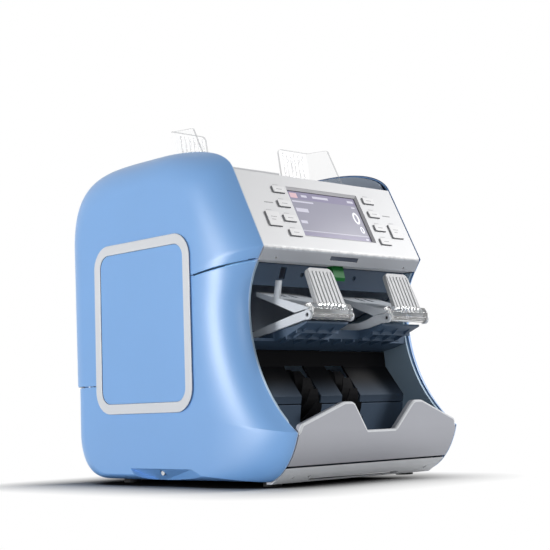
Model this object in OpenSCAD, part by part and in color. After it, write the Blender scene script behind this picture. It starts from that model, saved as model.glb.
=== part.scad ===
// Two-pocket banknote counter: stacker below, reject pocket above it, feed hopper on top.
// Depths are measured back from the front crease of the side covers, heights up from the table.

/* [Body] */
// Clear width between the side covers
bay_w = 228; // [222:1:250]
// How far each side cover stands out past the bay
cover_w = 26; // [24:0.5:32]
// Wall of the side covers
cover_t = 2.6; // [2:0.1:3.2]
// Depth from the front crease to the back
body_d = 331; // [325:1:345]
// Height of the top of the side covers
top_z = 335; // [328:1:345]
// Height of the underside, which is the height of the feet
bottom_z = 5; // [4:0.5:7]
// Height of the front crease
tip_z = 50; // [46:1:54]
// Depth of the waist of the front bay
waist_d = 61; // [56:1:66]
// Height of the waist of the front bay
waist_z = 168; // [160:1:174]
// Depth at which the covers' flat sides begin
flat_front = 111; // [108:1:114]
// Height of the seam between the covers at the back
seam_z = 102; // [98:1:106]
// Height of the seam between the covers on the flat side
flat_seam_z = 204; // [200:1:207]
// Turn of the covers' surface at the panel's edge, in degrees
rim_turn = 30; // [0:1:40]
// Gap at the seam between the covers
seam_gap = 0.8; // [0.6:0.1:1.4]
// How far the lower back stands in from the upper back
back_step = 8.5; // [8:0.5:11]

/* [Side frame] */
// Length of the side frame along the depth
frame_l = 157; // [140:1:165]
// Height of the side frame
frame_h = 176; // [160:1:190]
// Depth of the side frame's front edge
frame_d = 116; // [115:1:122]
// Height of the side frame's lower edge
frame_z = 72; // [66:1:78]
// Width of the side frame's band
band_w = 10.5; // [8:0.5:14]
// Corner radius of the side frame
frame_r = 24; // [18:1:30]
// How far the side frame stands proud
frame_proud = 2.2; // [1.5:0.1:3]
// How far the panel in the side frame stands proud
inset_proud = 1.2; // [0.8:0.1:1.5]

/* [Control panel] */
// Depth of the fold between panel and lip
fold_d = 38.5; // [36:0.5:41]
// Height of the fold between panel and lip
fold_z = 225.5; // [222:0.5:229]
// Length of the panel up its slope
panel_len = 90; // [86:1:92]
// Slope of the panel
panel_angle = 63.6; // [61:0.2:66]
// Thickness of the panel
panel_t = 3; // [2.5:0.1:3.4]
// Length of the lip below the fold
lip_len = 14.1; // [13:0.1:15]
// Slope of the lip
lip_angle = 58; // [55:0.5:62]
// Length of the flange behind the lip
flange_l = 14; // [13:0.5:16]
// Thickness of the flange behind the lip
flange_t = 2.5; // [2:0.1:3]
// Width of the screen window
window_w = 104; // [98:1:106]
// Height of the screen window
window_h = 60; // [56:1:62]
// Distance of the window from the fold
window_v = 16.7; // [15:0.1:18]
// Sideways place of the window's middle
window_x = 2; // [-1:0.5:3]
// Width of the small keys
key_w = 16.6; // [14:0.2:17]
// Height of the small keys
key_h = 7.6; // [6:0.2:9]
// Width of the big keys
big_w = 17.6; // [15:0.2:18]
// Height of the big keys
big_h = 16.8; // [14:0.2:18]
// Pitch of the small keys up the slope
key_pitch = 17.25; // [16.5:0.05:18]
// Distance of the lowest small key from the fold
key_v = 15; // [13:0.5:16]
// Distance of the big keys from the fold
big_v = 25; // [22:0.5:30]
// Sideways place of the left small keys
left_x = -63; // [-65:0.5:-61.5]
// Sideways place of the right small keys
right_x = 69; // [66:0.5:71]
// Sideways place of the left big key
left_big_x = -86; // [-90:0.5:-84]
// Sideways place of the right big key
right_big_x = 93; // [90.5:0.5:95]
// Travel of the keys
key_travel = 1; // [0.6:0.1:1.2]
// Gap around the keys
key_gap = 0.35; // [0.25:0.05:0.5]
// How far the keys stand proud
key_proud = 1.8; // [1.2:0.1:3]

/* [Front apron] */
// Height of the apron's two peaks
peak_z = 77; // [70:1:84]
// Sideways place of the apron's peaks
peak_x = 53; // [48:1:60]
// How far the peaks lean forward of the crease
peak_lean = 5; // [3:0.5:7]
// Width of the notch at its bottom
notch_w = 40; // [34:1:46]
// Height of the notch's bottom
notch_z = 49.5; // [47:0.5:54]
// Thickness of the apron
apron_t = 7; // [5:0.5:8]
// Height of the gap between apron and base strip
strip_z = 18.3; // [16:0.1:20]
// Gap between the apron and the base strip
strip_gap = 1.8; // [1:0.1:2.4]

/* [Stacker] */
// Depth of the stacker shaft
shaft_d = 100; // [97:1:104]
// Height of the stacker shaft
shaft_z = 68; // [66:1:70]
// Radius of the stacker wheels over the vanes
wheel_r = 43; // [36:0.5:44]
// Width of a stacker wheel
wheel_w = 22; // [16:1:26]
// Distance between the middles of the wheels
wheel_pitch = 58; // [52:1:70]
// Radius up to which the vanes keep their full width
vane_full_r = 31; // [26:0.5:34]
// Width of a vane at its tip
vane_tip_w = 8; // [5:0.5:14]
// Number of vanes on a wheel
vane_count = 18; // [12:1:20]
// Radius of the stacker shaft
shaft_r = 4; // [3:0.1:5]
// Radius of the stacker pulley
pulley_r = 14; // [11:0.5:16]
// Radius of the motor pulley
pinion_r = 9; // [7:0.5:11]
// Depth of the stacker motor's axis
motor_d = 172; // [165:1:180]
// Height of the stacker motor's axis
motor_z = 56; // [52:1:60]
// Radius of the stacker motor
motor_r = 17; // [14:0.5:18]
// Depth of the stacker's upright back
stack_back_d = 68; // [65:1:70]
// Height of the seam in the stacker's back
stack_seam_z = 76; // [72:1:80]

/* [Reject pocket] */
// Depth of the stoppers' pivot
pivot_d = 12.2; // [10:0.2:15]
// Height of the stoppers' pivot
pivot_z = 159.3; // [157:0.2:161]
// Radius of the stoppers' pins
pin_r = 2; // [1.5:0.1:2.3]
// Distance between the middles of the stoppers
stopper_pitch = 112; // [108:1:118]
// Width of a stopper's base
stopper_w = 54; // [48:1:56]
// Width of a stopper's plate at its foot
plate_w = 40; // [34:1:44]
// Length of a stopper's plate
plate_l = 40; // [34:1:42]
// Backward lean of a stopper's plate
plate_lean = 23; // [12:1:26]
// Thickness of a stopper's plate
plate_t = 4.5; // [3.5:0.1:5]
// Thickness of an arm's side wall
arm_t = 2.8; // [2:0.1:3.4]
// Height of the ribs on a stopper's plate
plate_rib = 0.6; // [0.4:0.1:1.2]
// Half width of the tray between the bay's walls
tray_x = 82; // [78:1:82.5]
// Depth of the finger notch in the tray, from the stoppers' pivot
tray_notch = 38; // [30:1:40]

/* [Hopper] */
// Distance between the hopper guides
guide_pitch = 195; // [185:1:200]
// Width of a guide's back plate
guide_w = 44; // [36:1:50]
// Height of the top of the guides
guide_z = 365; // [355:1:375]
// Depth of the top of the guides' back plates
guide_d = 190; // [186:1:192]
// Backward lean of the guides
guide_lean = 9; // [6:0.5:10]
// Thickness of a guide
guide_t = 2.5; // [2:0.1:3]
// Height of the ribs on a guide's back plate
guide_rib = 0.6; // [0.4:0.1:1.2]
// Depth of the feed shaft
feed_d = 112; // [110:1:116]
// Radius of the feed rollers
feed_r = 14.8; // [13:0.1:16]

/* [Hinge] */
// Height of the hinge of the upper unit
hinge_z = 102; // [100:0.5:104]
// Distance of the hinge from the upper back
hinge_in = 16; // [15.5:0.5:20]
// Radius of the hinge pins
hinge_r = 2.5; // [2:0.1:2.8]

/* [Hidden] */
$fn = 48;
side_gap = 0.3;
run_fit = 0.05;
press_fit = 0.02;
seat_gap = 0.3;
plate_m = 3;
sheet_t = 2.2;
wrap_n = 7;
half = bay_w / 2;
flat_x = half + cover_w;
plate_x1 = half - side_gap;
plate_x0 = plate_x1 - plate_m;
inner_x = plate_x0 - side_gap;
front_x = half - 2 * side_gap;
tip_y = -(body_d - peak_lean) / 2;
fold = [fold_d, fold_z];
up_slope = [cos(panel_angle), sin(panel_angle)];
in_slope = [sin(panel_angle), -cos(panel_angle)];
lip = fold + lip_len * [cos(lip_angle), -sin(lip_angle)];
flange_end = lip[0] + flange_l;
panel_top = fold + panel_len * up_slope;
rear_low = body_d - back_step;
rear_up = body_d - 2.5;
hinge = [body_d - hinge_in, hinge_z];
pan_t = 2;
pan_top = bottom_z + pan_t;
foot_d = 38;
corner_r = 47;
flat_rear = body_d - 34;
flat_top = top_z - 32;
flat_low = bottom_z + 7;
crease = [flat_front - 14, tip_z + 13];
crown_d = 180;
shoulder_z = top_z - 80;
throat = [72, 191];
turn_near = 90;
turn_far = 170;
turn_low = waist_z + 17;
turn_rest = 0.3;
split_gap = 1;
pivot = [pivot_d, pivot_z];
shaft = [shaft_d, shaft_z];
spindle = [motor_d, motor_z];
grip_t = 9.5;
grip_wall = 2.2;
grip_top = 17.3;
grip_low = 4;
grip_front = flat_front + 10.5;
grip_deep = flat_front + 83;
grip_back = flat_front + 108.6;
screw_at = [flat_front + 64, 13];
screw_r = 1.6;
screw_head = 2.6;
post_room = 0.4;
screw_seat = flat_x - grip_t + 1.3;
pulley_x = half + 1.5;
pulley_w = 8;
bed_front = panel_top + [14.5, -34];
bed_rise = 14.5;
guide_foot = guide_d - (guide_z - bed(guide_d)) * tan(guide_lean);
rear_wall_d = guide_d + 1.5;
feed_z = bed(feed_d) + 2.5 - feed_r;
slot_d = guide_foot - 11;
slot_w = 4;
board_in = 12.2;
lever_pin = [flange_end - 4, lip[1] + flange_t + 6];
lug_r = 5;
screen_gap = 0.2;

// Plane curves and outlines
function unit(v) = v / norm(v);
function left_of(e) = [-e[1], e[0]];
function flip(l) = [for (i = [len(l) - 1:-1:0]) l[i]];
function part_of(l, a, b) = [for (i = [a:b]) l[i]];
function seg(p, q, n) = [for (i = [0:n - 1]) p + (q - p) * i / n];
function bez(p, q, r, s, n) = [for (i = [0:n - 1]) let (t = i / n)
    p * pow(1 - t, 3) + q * 3 * t * pow(1 - t, 2) + r * 3 * t * t * (1 - t) + s * pow(t, 3)];
function arc(c, r, a, b, n) = [for (i = [0:n - 1]) let (w = a + (b - a) * i / n) c + r * [cos(w), sin(w)]];

// Path moved sideways to its left, with mitred corners
function side_of(path, i) = let (last = len(path) - 1,
    a = left_of(unit(path[max(i, 1)] - path[max(i, 1) - 1])),
    b = left_of(unit(path[min(i + 1, last)] - path[min(i, last - 1)]))) (a + b) / (1 + a * b);
function beside(path, t) = [for (i = [0:len(path) - 1]) path[i] + t * side_of(path, i)];
function sheet(path, t) = concat(path, flip(beside(path, t)));

// Polygon with its corners rounded
function bend(a, b, c, r, n) = let (u = unit(a - b), v = unit(c - b), h = acos(u * v) / 2,
    o = b + unit(u + v) * r / sin(h), p = b + u * r / tan(h), q = b + v * r / tan(h))
    [for (i = [0:n]) o + r * unit((p - o) + (q - p) * i / n)];
function rounded(pts, rs, n = 6) = let (m = len(pts))
    [for (i = [0:m - 1])
        each rs[i] == 0 ? [pts[i]] : bend(pts[(i + m - 1) % m], pts[i], pts[(i + 1) % m], rs[i], n)];
function rounded_box(w, h, r, n = 6) = rounded([[0, 0], [w, 0], [w, h], [0, h]], [r, r, r, r], n);

// Front edge of the bay, as depth at a height
bow_r = (waist_d * waist_d + pow(waist_z - tip_z, 2)) / (2 * waist_d);
brow_r = (pow(waist_d - lip[0], 2) + pow(lip[1] - waist_z, 2)) / (2 * (waist_d - lip[0]));
function bay_front(z) = let (r = z < waist_z ? bow_r : brow_r)
    waist_d - r + sqrt(r * r - pow(z - waist_z, 2));
foot_curve = bez([foot_d, bottom_z], [foot_d - 18, bottom_z + 5], [5.5, tip_z - 21], [0, tip_z], 8);

// Plane between the lower and the upper unit, through the hinge
function split(d) = hinge[1] + (hinge[0] - d) * (throat[1] - hinge[1]) / (hinge[0] - throat[0]);
function bed(d) = bed_front[1] + (d - bed_front[0]) * bed_rise / (guide_d - bed_front[0]);

// Outlines of the lower cover: the edge at the bay and the edge of the flat side
low_seam = seam_gap / 2;
lower_open = concat(
    seg([rear_low, seam_z - low_seam], [rear_low, bottom_z + 45], 3),
    bez([rear_low, bottom_z + 45], [rear_low, bottom_z + 14], [rear_low - 20, bottom_z],
        [rear_low - corner_r, bottom_z], 8),
    seg([rear_low - corner_r, bottom_z], [foot_d, bottom_z], 4),
    foot_curve,
    arc([waist_d - bow_r, waist_z], bow_r, atan2(tip_z - waist_z, bow_r - waist_d), 0, 12),
    arc([waist_d - brow_r, waist_z], brow_r, 0, asin((lip[1] - low_seam - waist_z) / brow_r), 7),
    [[bay_front(lip[1] - low_seam), lip[1] - low_seam]]);
lower_flat = concat(
    seg([flat_rear, seam_z - low_seam], [flat_rear, bottom_z + 55], 3),
    bez([flat_rear, bottom_z + 55], [flat_rear, bottom_z + 25], [flat_rear - 18, flat_low],
        [flat_rear - 40, flat_low], 8),
    seg([flat_rear - 40, flat_low], [flat_front + 5, flat_low], 4),
    bez([flat_front + 5, flat_low], [flat_front - 12, flat_low + 6], [crease[0] - 3, crease[1] - 19],
        crease, 8),
    bez(crease, crease + [7, 24], [flat_front, waist_z - 45], [flat_front, waist_z], 12),
    seg([flat_front, waist_z], [flat_front, flat_seam_z - low_seam], 7),
    [[flat_front, flat_seam_z - low_seam]]);
seam_line = [[flat_front + 14, flat_seam_z], [flat_rear - 35, seam_z]];
lower_seam = [for (p = seam_line) p - [0, low_seam]];

// Outlines of the upper cover
upper_start = [lip[0] - low_seam / tan(lip_angle), lip[1] + low_seam];
upper_open = concat(
    seg(upper_start, fold, 2),
    seg(fold, panel_top, 6),
    bez(panel_top, panel_top + [9.5, 20], [crown_d - 55, top_z], [crown_d, top_z], 10),
    bez([crown_d, top_z], [body_d - 51, top_z], [body_d, top_z + 5], [body_d, shoulder_z], 14),
    seg([body_d, shoulder_z], [rear_up, seam_z + low_seam], 4),
    [[rear_up, seam_z + low_seam]]);
flat_brow = [flat_front + 12, flat_seam_z + 76];
upper_flat = concat(
    seg([flat_front, flat_seam_z + low_seam], [flat_front, flat_seam_z + 8], 2),
    bez([flat_front, flat_seam_z + 8], [flat_front, flat_seam_z + 31], [flat_front + 2, flat_seam_z + 58],
        flat_brow, 6),
    bez(flat_brow, flat_brow + [8, 14], [crown_d - 30, flat_top], [crown_d, flat_top], 10),
    bez([crown_d, flat_top], [flat_rear - 47, flat_top], [flat_rear + 2, flat_top - 3],
        [flat_rear + 2, shoulder_z - 5], 14),
    seg([flat_rear + 2, shoulder_z - 5], [flat_rear, seam_z + low_seam], 4),
    [[flat_rear, seam_z + low_seam]]);
upper_seam = flip([for (p = seam_line) p + [0, low_seam]]);
low_mid = [190, seam_z - 17];
up_mid = [215, flat_seam_z + 11];

// Placing helpers
module along_x(x0, x1) {
    translate([x0, tip_y, 0]) rotate([90, 0, 90]) linear_extrude(x1 - x0) children();
}

module rod(p, r, x0, x1) {
    translate([x0, tip_y + p[0], p[1]]) rotate([0, 90, 0]) cylinder(r = r, h = x1 - x0);
}

module block(x, d, z) {
    translate([x[0], tip_y + d[0], z[0]]) cube([x[1] - x[0], d[1] - d[0], z[1] - z[0]]);
}

module on_panel() {
    translate([0, tip_y + fold_d, fold_z]) rotate([panel_angle, 0, 0]) children();
}

module on_lip() {
    translate([0, tip_y + fold_d, fold_z]) rotate([-lip_angle, 0, 0]) children();
}

module left_side() {
    mirror([1, 0, 0]) children();
}

// Hollow side cover that wraps from the bay's edge round to the flat side
// Where the covers' rounding starts: full turn beside the panel, little at the waist and none at the back
function ease(t) = let (u = max(0, min(1, t))) u * u * (3 - 2 * u);
function rim_angle(p) = rim_turn * ease((turn_far - p[0]) / (turn_far - turn_near))
    * (turn_rest + (1 - turn_rest) * ease((p[1] - turn_low) / (lip[1] - seam_gap - turn_low)));

module cover_shell(open_edge, flat_edge, seam, mid, side_x) {
    n = len(open_edge);
    m = len(seam);
    rows = wrap_n + 1;
    open_in = beside(open_edge, -cover_t);
    flat_in = beside(flat_edge, -cover_t);
    function ring(a, b, x1, k) = [for (i = [0:n - 1])
        let (v = rim_angle(open_edge[i]), w = v + (90 - v) * k / wrap_n,
            p = b[i] + (a[i] - b[i]) * cos(w) / cos(v))
        [half + (x1 - half) * (sin(w) - sin(v)) / (1 - sin(v)), tip_y + p[0], p[1]]];
    function out(k, i) = k * n + i;
    function ins(k, i) = (rows + k) * n + i;
    seam_out = [for (j = [0:m - 1]) 2 * rows * n + j];
    seam_ins = [for (j = [0:m - 1]) 2 * rows * n + m + j];
    close_out = concat([out(wrap_n, n - 1)], seam_out, [out(wrap_n, 0)]);
    close_ins = concat([ins(wrap_n, n - 1)], seam_ins, [ins(wrap_n, 0)]);
    loop_out = concat([for (i = [0:n - 1]) out(wrap_n, i)], seam_out);
    loop_ins = concat([for (i = [0:n - 1]) ins(wrap_n, i)], seam_ins);
    mid_out = 2 * rows * n + 2 * m;
    points = concat(
        [for (k = [0:wrap_n]) each ring(open_edge, flat_edge, side_x, k)],
        [for (k = [0:wrap_n]) each ring(open_in, flat_in, side_x - cover_t, k)],
        [for (p = seam) [side_x, tip_y + p[0], p[1]]],
        [for (p = seam) [side_x - cover_t, tip_y + p[0], p[1]]],
        [for (x = [side_x, side_x - cover_t]) [x, tip_y + mid[0], mid[1]]]);
    faces = concat(
        [for (k = [0:wrap_n - 1], i = [0:n - 2]) each [
            [out(k, i), out(k, i + 1), out(k + 1, i + 1)], [out(k, i), out(k + 1, i + 1), out(k + 1, i)],
            [ins(k, i), ins(k + 1, i + 1), ins(k, i + 1)], [ins(k, i), ins(k + 1, i), ins(k + 1, i + 1)]]],
        [for (i = [0:n - 2]) each [
            [out(0, i + 1), out(0, i), ins(0, i)], [out(0, i + 1), ins(0, i), ins(0, i + 1)]]],
        [for (k = [0:wrap_n - 1]) each [
            [out(k, 0), out(k + 1, 0), ins(k + 1, 0)], [out(k, 0), ins(k + 1, 0), ins(k, 0)],
            [out(k + 1, n - 1), out(k, n - 1), ins(k, n - 1)],
            [out(k + 1, n - 1), ins(k, n - 1), ins(k + 1, n - 1)]]],
        [for (j = [0:m]) each [
            [close_out[j + 1], close_out[j], close_ins[j]],
            [close_out[j + 1], close_ins[j], close_ins[j + 1]]]],
        [for (i = [0:n + m - 1]) each [
            [loop_out[i], loop_out[(i + 1) % (n + m)], mid_out],
            [loop_ins[(i + 1) % (n + m)], loop_ins[i], mid_out + 1]]]);
    polyhedron(points, faces);
}

// Hand grip scooped out of the lower edge, deepest near its back
module grip_space() {
    function ring(front, deep, back) = [[flat_x + 2, front], [flat_x, front], [flat_x - grip_t, deep],
        [flat_x, back], [flat_x + 2, back]];
    hull() {
        translate([0, tip_y, grip_top]) linear_extrude(0.01) polygon(ring(grip_front, grip_deep, grip_back));
        translate([0, tip_y, grip_low]) linear_extrude(0.01)
            polygon(ring(grip_front - 33, grip_deep - 4, grip_back - 15));
    }
}

// Wall behind the hand grip
module grip_lining() {
    function ring(x, front, back) = [[x, front], [flat_x - grip_t - grip_wall, grip_deep], [x, back]];
    difference() {
        hull() {
            translate([0, tip_y, grip_top + grip_wall]) linear_extrude(0.01)
                polygon(ring(flat_x - 1.2, grip_front - 8, grip_back + 5));
            translate([0, tip_y, grip_low]) linear_extrude(0.01)
                polygon(ring(flat_x - 6, grip_front - 38, grip_back - 8));
        }
        block([half, flat_x + 1], [0, body_d], [grip_low - 1, flat_low - 3.4]);
    }
}

module lower_cover_shape() {
    difference() {
        union() {
            cover_shell(lower_open, lower_flat, lower_seam, low_mid, flat_x - side_gap);
            grip_lining();
        }
        grip_space();
        rod(screw_at, screw_r + 0.2, half, flat_x);
        rod(screw_at, screw_head + 0.2, screw_seat, flat_x);
    }
}

module upper_cover_shape() {
    cover_shell(upper_open, upper_flat, upper_seam, up_mid, flat_x);
}

module lower_cover_left() {
    color("#5f9fdc") left_side() lower_cover_shape();
}

module lower_cover_right() {
    color("#5f9fdc") lower_cover_shape();
}

module upper_cover_left() {
    color("#5f9fdc") left_side() upper_cover_shape();
}

module upper_cover_right() {
    color("#5f9fdc") upper_cover_shape();
}

// Screws that hold the lower covers to the posts of the chassis
module cover_screws() {
    color("dimgray") for (s = [0, 1]) mirror([s, 0, 0]) {
        rod(screw_at, screw_head, screw_seat + press_fit, screw_seat + 1.2);
        rod(screw_at, screw_r, screw_seat - grip_wall - 8, screw_seat + 1);
    }
}

// Framed panel on the flat sides
module framed(inset, r, x0, x1) {
    along_x(x0, x1) translate([frame_d + inset, frame_z + inset])
        polygon(rounded_box(frame_l - 2 * inset, frame_h - 2 * inset, r, 8));
}

module side_trim_shape() {
    difference() {
        framed(0, frame_r, flat_x, flat_x + frame_proud);
        framed(band_w, frame_r - band_w, flat_x - 1, flat_x + frame_proud + 1);
    }
}

module side_trim_left() {
    color("#ebe6ea") left_side() side_trim_shape();
}

module side_trim_right() {
    color("#ebe6ea") side_trim_shape();
}

module side_panel_shape() {
    framed(band_w + side_gap, frame_r - band_w - side_gap, flat_x, flat_x + inset_proud);
}

module side_panel_left() {
    color("#7db4e6") left_side() side_panel_shape();
}

module side_panel_right() {
    color("#7db4e6") side_panel_shape();
}

// Base
foot_spots = [for (x = [-1, 1], d = [58, rear_low - corner_r]) [x * (half - 19), d]];

module feet() {
    color("#222222") for (p = foot_spots)
        translate([p[0], tip_y + p[1] - 1, 0]) cylinder(r = 9, h = bottom_z);
}

pan_back = rear_low - corner_r - seat_gap;
board_front = motor_d - 22;
board_back = pan_back - 13;
board_x = [-102, 2];
post_spots = [for (x = [board_x[0] + 7, board_x[1] - 7], d = [board_front + 6, board_back - 6]) [x, d]];
post_h = 7;

module base_pan() {
    color("#8f9499") {
        block([-front_x, front_x], [foot_d + 8.3, pan_back], [bottom_z, pan_top]);
        for (p = post_spots) translate([p[0], tip_y + p[1], pan_top]) cylinder(r = 3, h = post_h);
    }
}

// Front apron and base strip share the curve of the covers' front foot
apron_face = concat(foot_curve, [[0, tip_z], [0, tip_z] + 1.1 * [-peak_lean, peak_z - tip_z]]);
apron_half = [[front_x, strip_z + strip_gap / 2], [front_x, tip_z], [front_x - 3, tip_z + 7.5],
    [peak_x + 3, peak_z],
    [peak_x - 10, peak_z], [notch_w / 2, notch_z]];
apron_outline = rounded(concat(apron_half, flip([for (p = apron_half) [-p[0], p[1]]])),
    [0, 0, 4, 9, 9, 2, 2, 9, 9, 4, 0, 0]);

module apron() {
    color("#c3c5c9") intersection() {
        along_x(-front_x, front_x) polygon(sheet(apron_face, -apron_t));
        translate([0, tip_y + body_d / 2, 0]) rotate([90, 0, 0])
            linear_extrude(body_d) polygon(apron_outline);
    }
}

module base_strip() {
    path = concat([[foot_d + 8, bottom_z - 2.4], [foot_d + 1, bottom_z - 2.4]], part_of(foot_curve, 2, 7),
        [[0, tip_z]]);
    color("#b9bbbf") difference() {
        along_x(-front_x, front_x) polygon(sheet(path, -2.4));
        block([-bay_w, bay_w], [-20, foot_d + 20], [strip_z - strip_gap / 2, tip_z + 20]);
        block([-68, 60], [-20, foot_d + 20], [bottom_z - 0.6, bottom_z + 0.5]);
        for (x = [-front_x + 20, -front_x + 41, front_x - 17])
            translate([x, tip_y, bottom_z + 3.2]) rotate([-90, 0, 0]) cylinder(r = 1.2, h = 40);
    }
}

// Lower back with the mains inlet and the power switch
inlet_x = -62;
inlet_z = bottom_z + 63;
inlet_w = 27;
inlet_h = 20;
switch_x = inlet_x + 36;
rocker_w = 13;
rocker_h = 15;

module rear_lower_panel() {
    path = concat(part_of(lower_open, 0, 10), [[rear_low - corner_r, bottom_z]]);
    color("#50555c") difference() {
        along_x(-inner_x, inner_x) polygon(sheet(path, -sheet_t));
        block([inlet_x - inlet_w / 2, inlet_x + inlet_w / 2], [rear_low - 9, rear_low + 5],
            [inlet_z - inlet_h / 2, inlet_z + inlet_h / 2]);
        block([switch_x - rocker_w / 2 - 0.4, switch_x + rocker_w / 2 + 0.4], [rear_low - 9, rear_low + 5],
            [inlet_z - rocker_h / 2 - 2.5, inlet_z + rocker_h / 2 + 2.5]);
        for (i = [0:8]) block([20 + 8 * i, 24 + 8 * i], [rear_low - 9, rear_low + 5],
            [inlet_z - 10, inlet_z + 15]);
    }
}

module power_inlet() {
    color("#1c1d1f") difference() {
        union() {
            block([inlet_x - inlet_w / 2 + 0.2, inlet_x + inlet_w / 2 - 0.2], [rear_low - 24, rear_low + 0.5],
                [inlet_z - inlet_h / 2 + 0.2, inlet_z + inlet_h / 2 - 0.2]);
            block([inlet_x - inlet_w / 2 - 3, inlet_x + inlet_w / 2 + 3], [rear_low + 0.1, rear_low + 2],
                [inlet_z - inlet_h / 2 - 3, inlet_z + inlet_h / 2 + 3]);
        }
        block([inlet_x - inlet_w / 2 + 2, inlet_x + inlet_w / 2 - 2], [rear_low - 15, rear_low + 5],
            [inlet_z - inlet_h / 2 + 2, inlet_z + inlet_h / 2 - 2]);
    }
}

module power_switch() {
    face = [[-8, -6], [0.6, -rocker_h / 2], [-0.6, 0], [2.4, rocker_h / 2], [-8, 6]];
    color("#7a1f1f") {
        along_x(switch_x - rocker_w / 2, switch_x + rocker_w / 2)
            translate([rear_low, inlet_z]) polygon(face);
        rod([rear_low - 5, inlet_z], 2, switch_x - rocker_w / 2 - 1.5, switch_x + rocker_w / 2 + 1.5);
    }
}

// Side plates of the lower unit, with the hinge ears
edge_in = cover_t;
lower_in = beside(lower_open, -edge_in);
chassis_top = lip[1] - 1.2;
chassis_outline = concat(
    [[flange_end + 1, chassis_top]],
    [for (i = [0:14]) let (z = chassis_top - i * (chassis_top - tip_z - 12) / 14)
        [bay_front(z) + edge_in, z]],
    [[apron_t + 6, tip_z + 4], [apron_t + 7, tip_z - 6], [apron_t + 15, tip_z - 22],
        [apron_t + 25, tip_z - 32],
        [foot_d + 8, pan_top + 0.2], [rear_low - corner_r - 2, pan_top + 0.2]],
    flip(part_of(lower_in, 3, 10)),
    [[rear_low - edge_in, hinge[1] - lug_r - 4], [hinge[0] + 2, hinge[1] - lug_r - 3],
        [hinge[0] - 4, hinge[1] - lug_r - 2], [hinge[0] - 8, hinge[1] - 2],
        [hinge[0] - 11, split(hinge[0] - 11) - split_gap],
        [flange_end + 1, split(flange_end + 1) - split_gap]]);
ear_outline = [[hinge[0] - lug_r, hinge[1]], [hinge[0] + lug_r, hinge[1]], [hinge[0] + lug_r, hinge[1] - 40],
    [hinge[0] - lug_r - 14, hinge[1] - 40]];

module chassis_shape() {
    difference() {
        union() {
            along_x(plate_x0, plate_x1) polygon(chassis_outline);
            along_x(plate_x0 - plate_m - side_gap, plate_x0 - side_gap) polygon(ear_outline);
            block([plate_x0 - plate_m - side_gap, plate_x0 + 0.1], [hinge[0] - lug_r - 5, hinge[0] + lug_r],
                [hinge[1] - 40, hinge[1] - 22]);
            rod(hinge, lug_r, plate_x0 - plate_m - side_gap, plate_x0 - side_gap);
            rod(screw_at, 2 * screw_r, plate_x1 - 1, screw_seat - grip_wall - seat_gap - post_room);
        }
        rod(hinge, hinge_r + press_fit, half - 30, half);
        rod(shaft, shaft_r + run_fit, half - 30, half + 1);
        rod(screw_at, screw_r + press_fit, half, flat_x);
    }
}

module chassis_left() {
    color("#3b4148") left_side() chassis_shape();
}

module chassis_right() {
    color("#3b4148") difference() {
        chassis_shape();
        rod(spindle, pinion_r - 2, half - 30, half + 1);
    }
}

// Stacker pocket: floor and back, slotted for the wheels
slot_half = wheel_w / 2 + 2.5;

module wheel_slots() {
    for (s = [-1, 1]) block([s * wheel_pitch / 2 - slot_half, s * wheel_pitch / 2 + slot_half],
        [stack_back_d - 12, shaft_d + 5], [tip_z - 8, shaft_z + wheel_r + 4]);
}

module stacker_floor() {
    path = [[apron_t + 3.5, tip_z - 3], [stack_back_d - 6, tip_z - 7], [stack_back_d + 4, tip_z - 3],
        [stack_back_d, stack_seam_z - 0.5]];
    color("#4a5057") difference() {
        along_x(-inner_x, inner_x) polygon(sheet(path, -sheet_t));
        wheel_slots();
    }
}

module stacker_back() {
    path = [[stack_back_d, stack_seam_z + 0.5], [stack_back_d - 1.5, stack_seam_z + 8],
        [stack_back_d + 22, stack_seam_z + 38], [stack_back_d + 24, pivot_z - 28.8]];
    color("#565c64") difference() {
        along_x(-inner_x, inner_x) polygon(sheet(path, -sheet_t));
        wheel_slots();
    }
}

// Reject pocket: tray, arms, stoppers
tray_top = [[4.8, -5.3], [23.8, -9.2], [37.8, -10.1]];
tray_low = [[31.8, -17.8], [21.8, -14], [4.8, -7.3]];
tray_back = stack_back_d + 24 - pivot_d;

module reject_tray() {
    wing_d = waist_d + 1 - pivot_d;
    slot_x = -stopper_pitch / 2 - stopper_w / 2 - seat_gap - arm_t;
    notch_x = stopper_pitch / 2 - stopper_w / 2 - seat_gap - arm_t - 1;
    color("#39424d") difference() {
        union() {
            along_x(-tray_x, tray_x) translate(pivot)
                polygon(concat(tray_top, [[wing_d, -10.1], [wing_d, -21.6]], tray_low));
            along_x(-inner_x, inner_x) translate(pivot)
                polygon([[wing_d, -10.1], [tray_back, -10.1], [tray_back, -28.3], [wing_d + 16, -25.8],
                    [wing_d, -21.6]]);
            for (i = [-4:4]) along_x(i * 18.5 - 0.9, i * 18.5 + 0.9) translate(pivot)
                polygon([[8, -8], [21.8, -13.5], [31.8, -17.3], [wing_d, -21], [wing_d, -24.6], [28, -19.6],
                    [16, -14.2]]);
            for (p = [[19, -12.5], [33, -17.5]]) along_x(-tray_x, tray_x) translate(pivot + p)
                polygon([[-0.9, 0], [0.9, 0], [0.9, -3.6], [-0.9, -3.2]]);
        }
        block([-inner_x - 1, slot_x + arm_t + 0.5], [pivot_d + wing_d - 1, pivot_d + tray_back + 1],
            [pivot_z - 19, pivot_z]);
        block([-notch_x, notch_x], [0, pivot_d + tray_notch], [pivot_z - 30, pivot_z]);
    }
}

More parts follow.
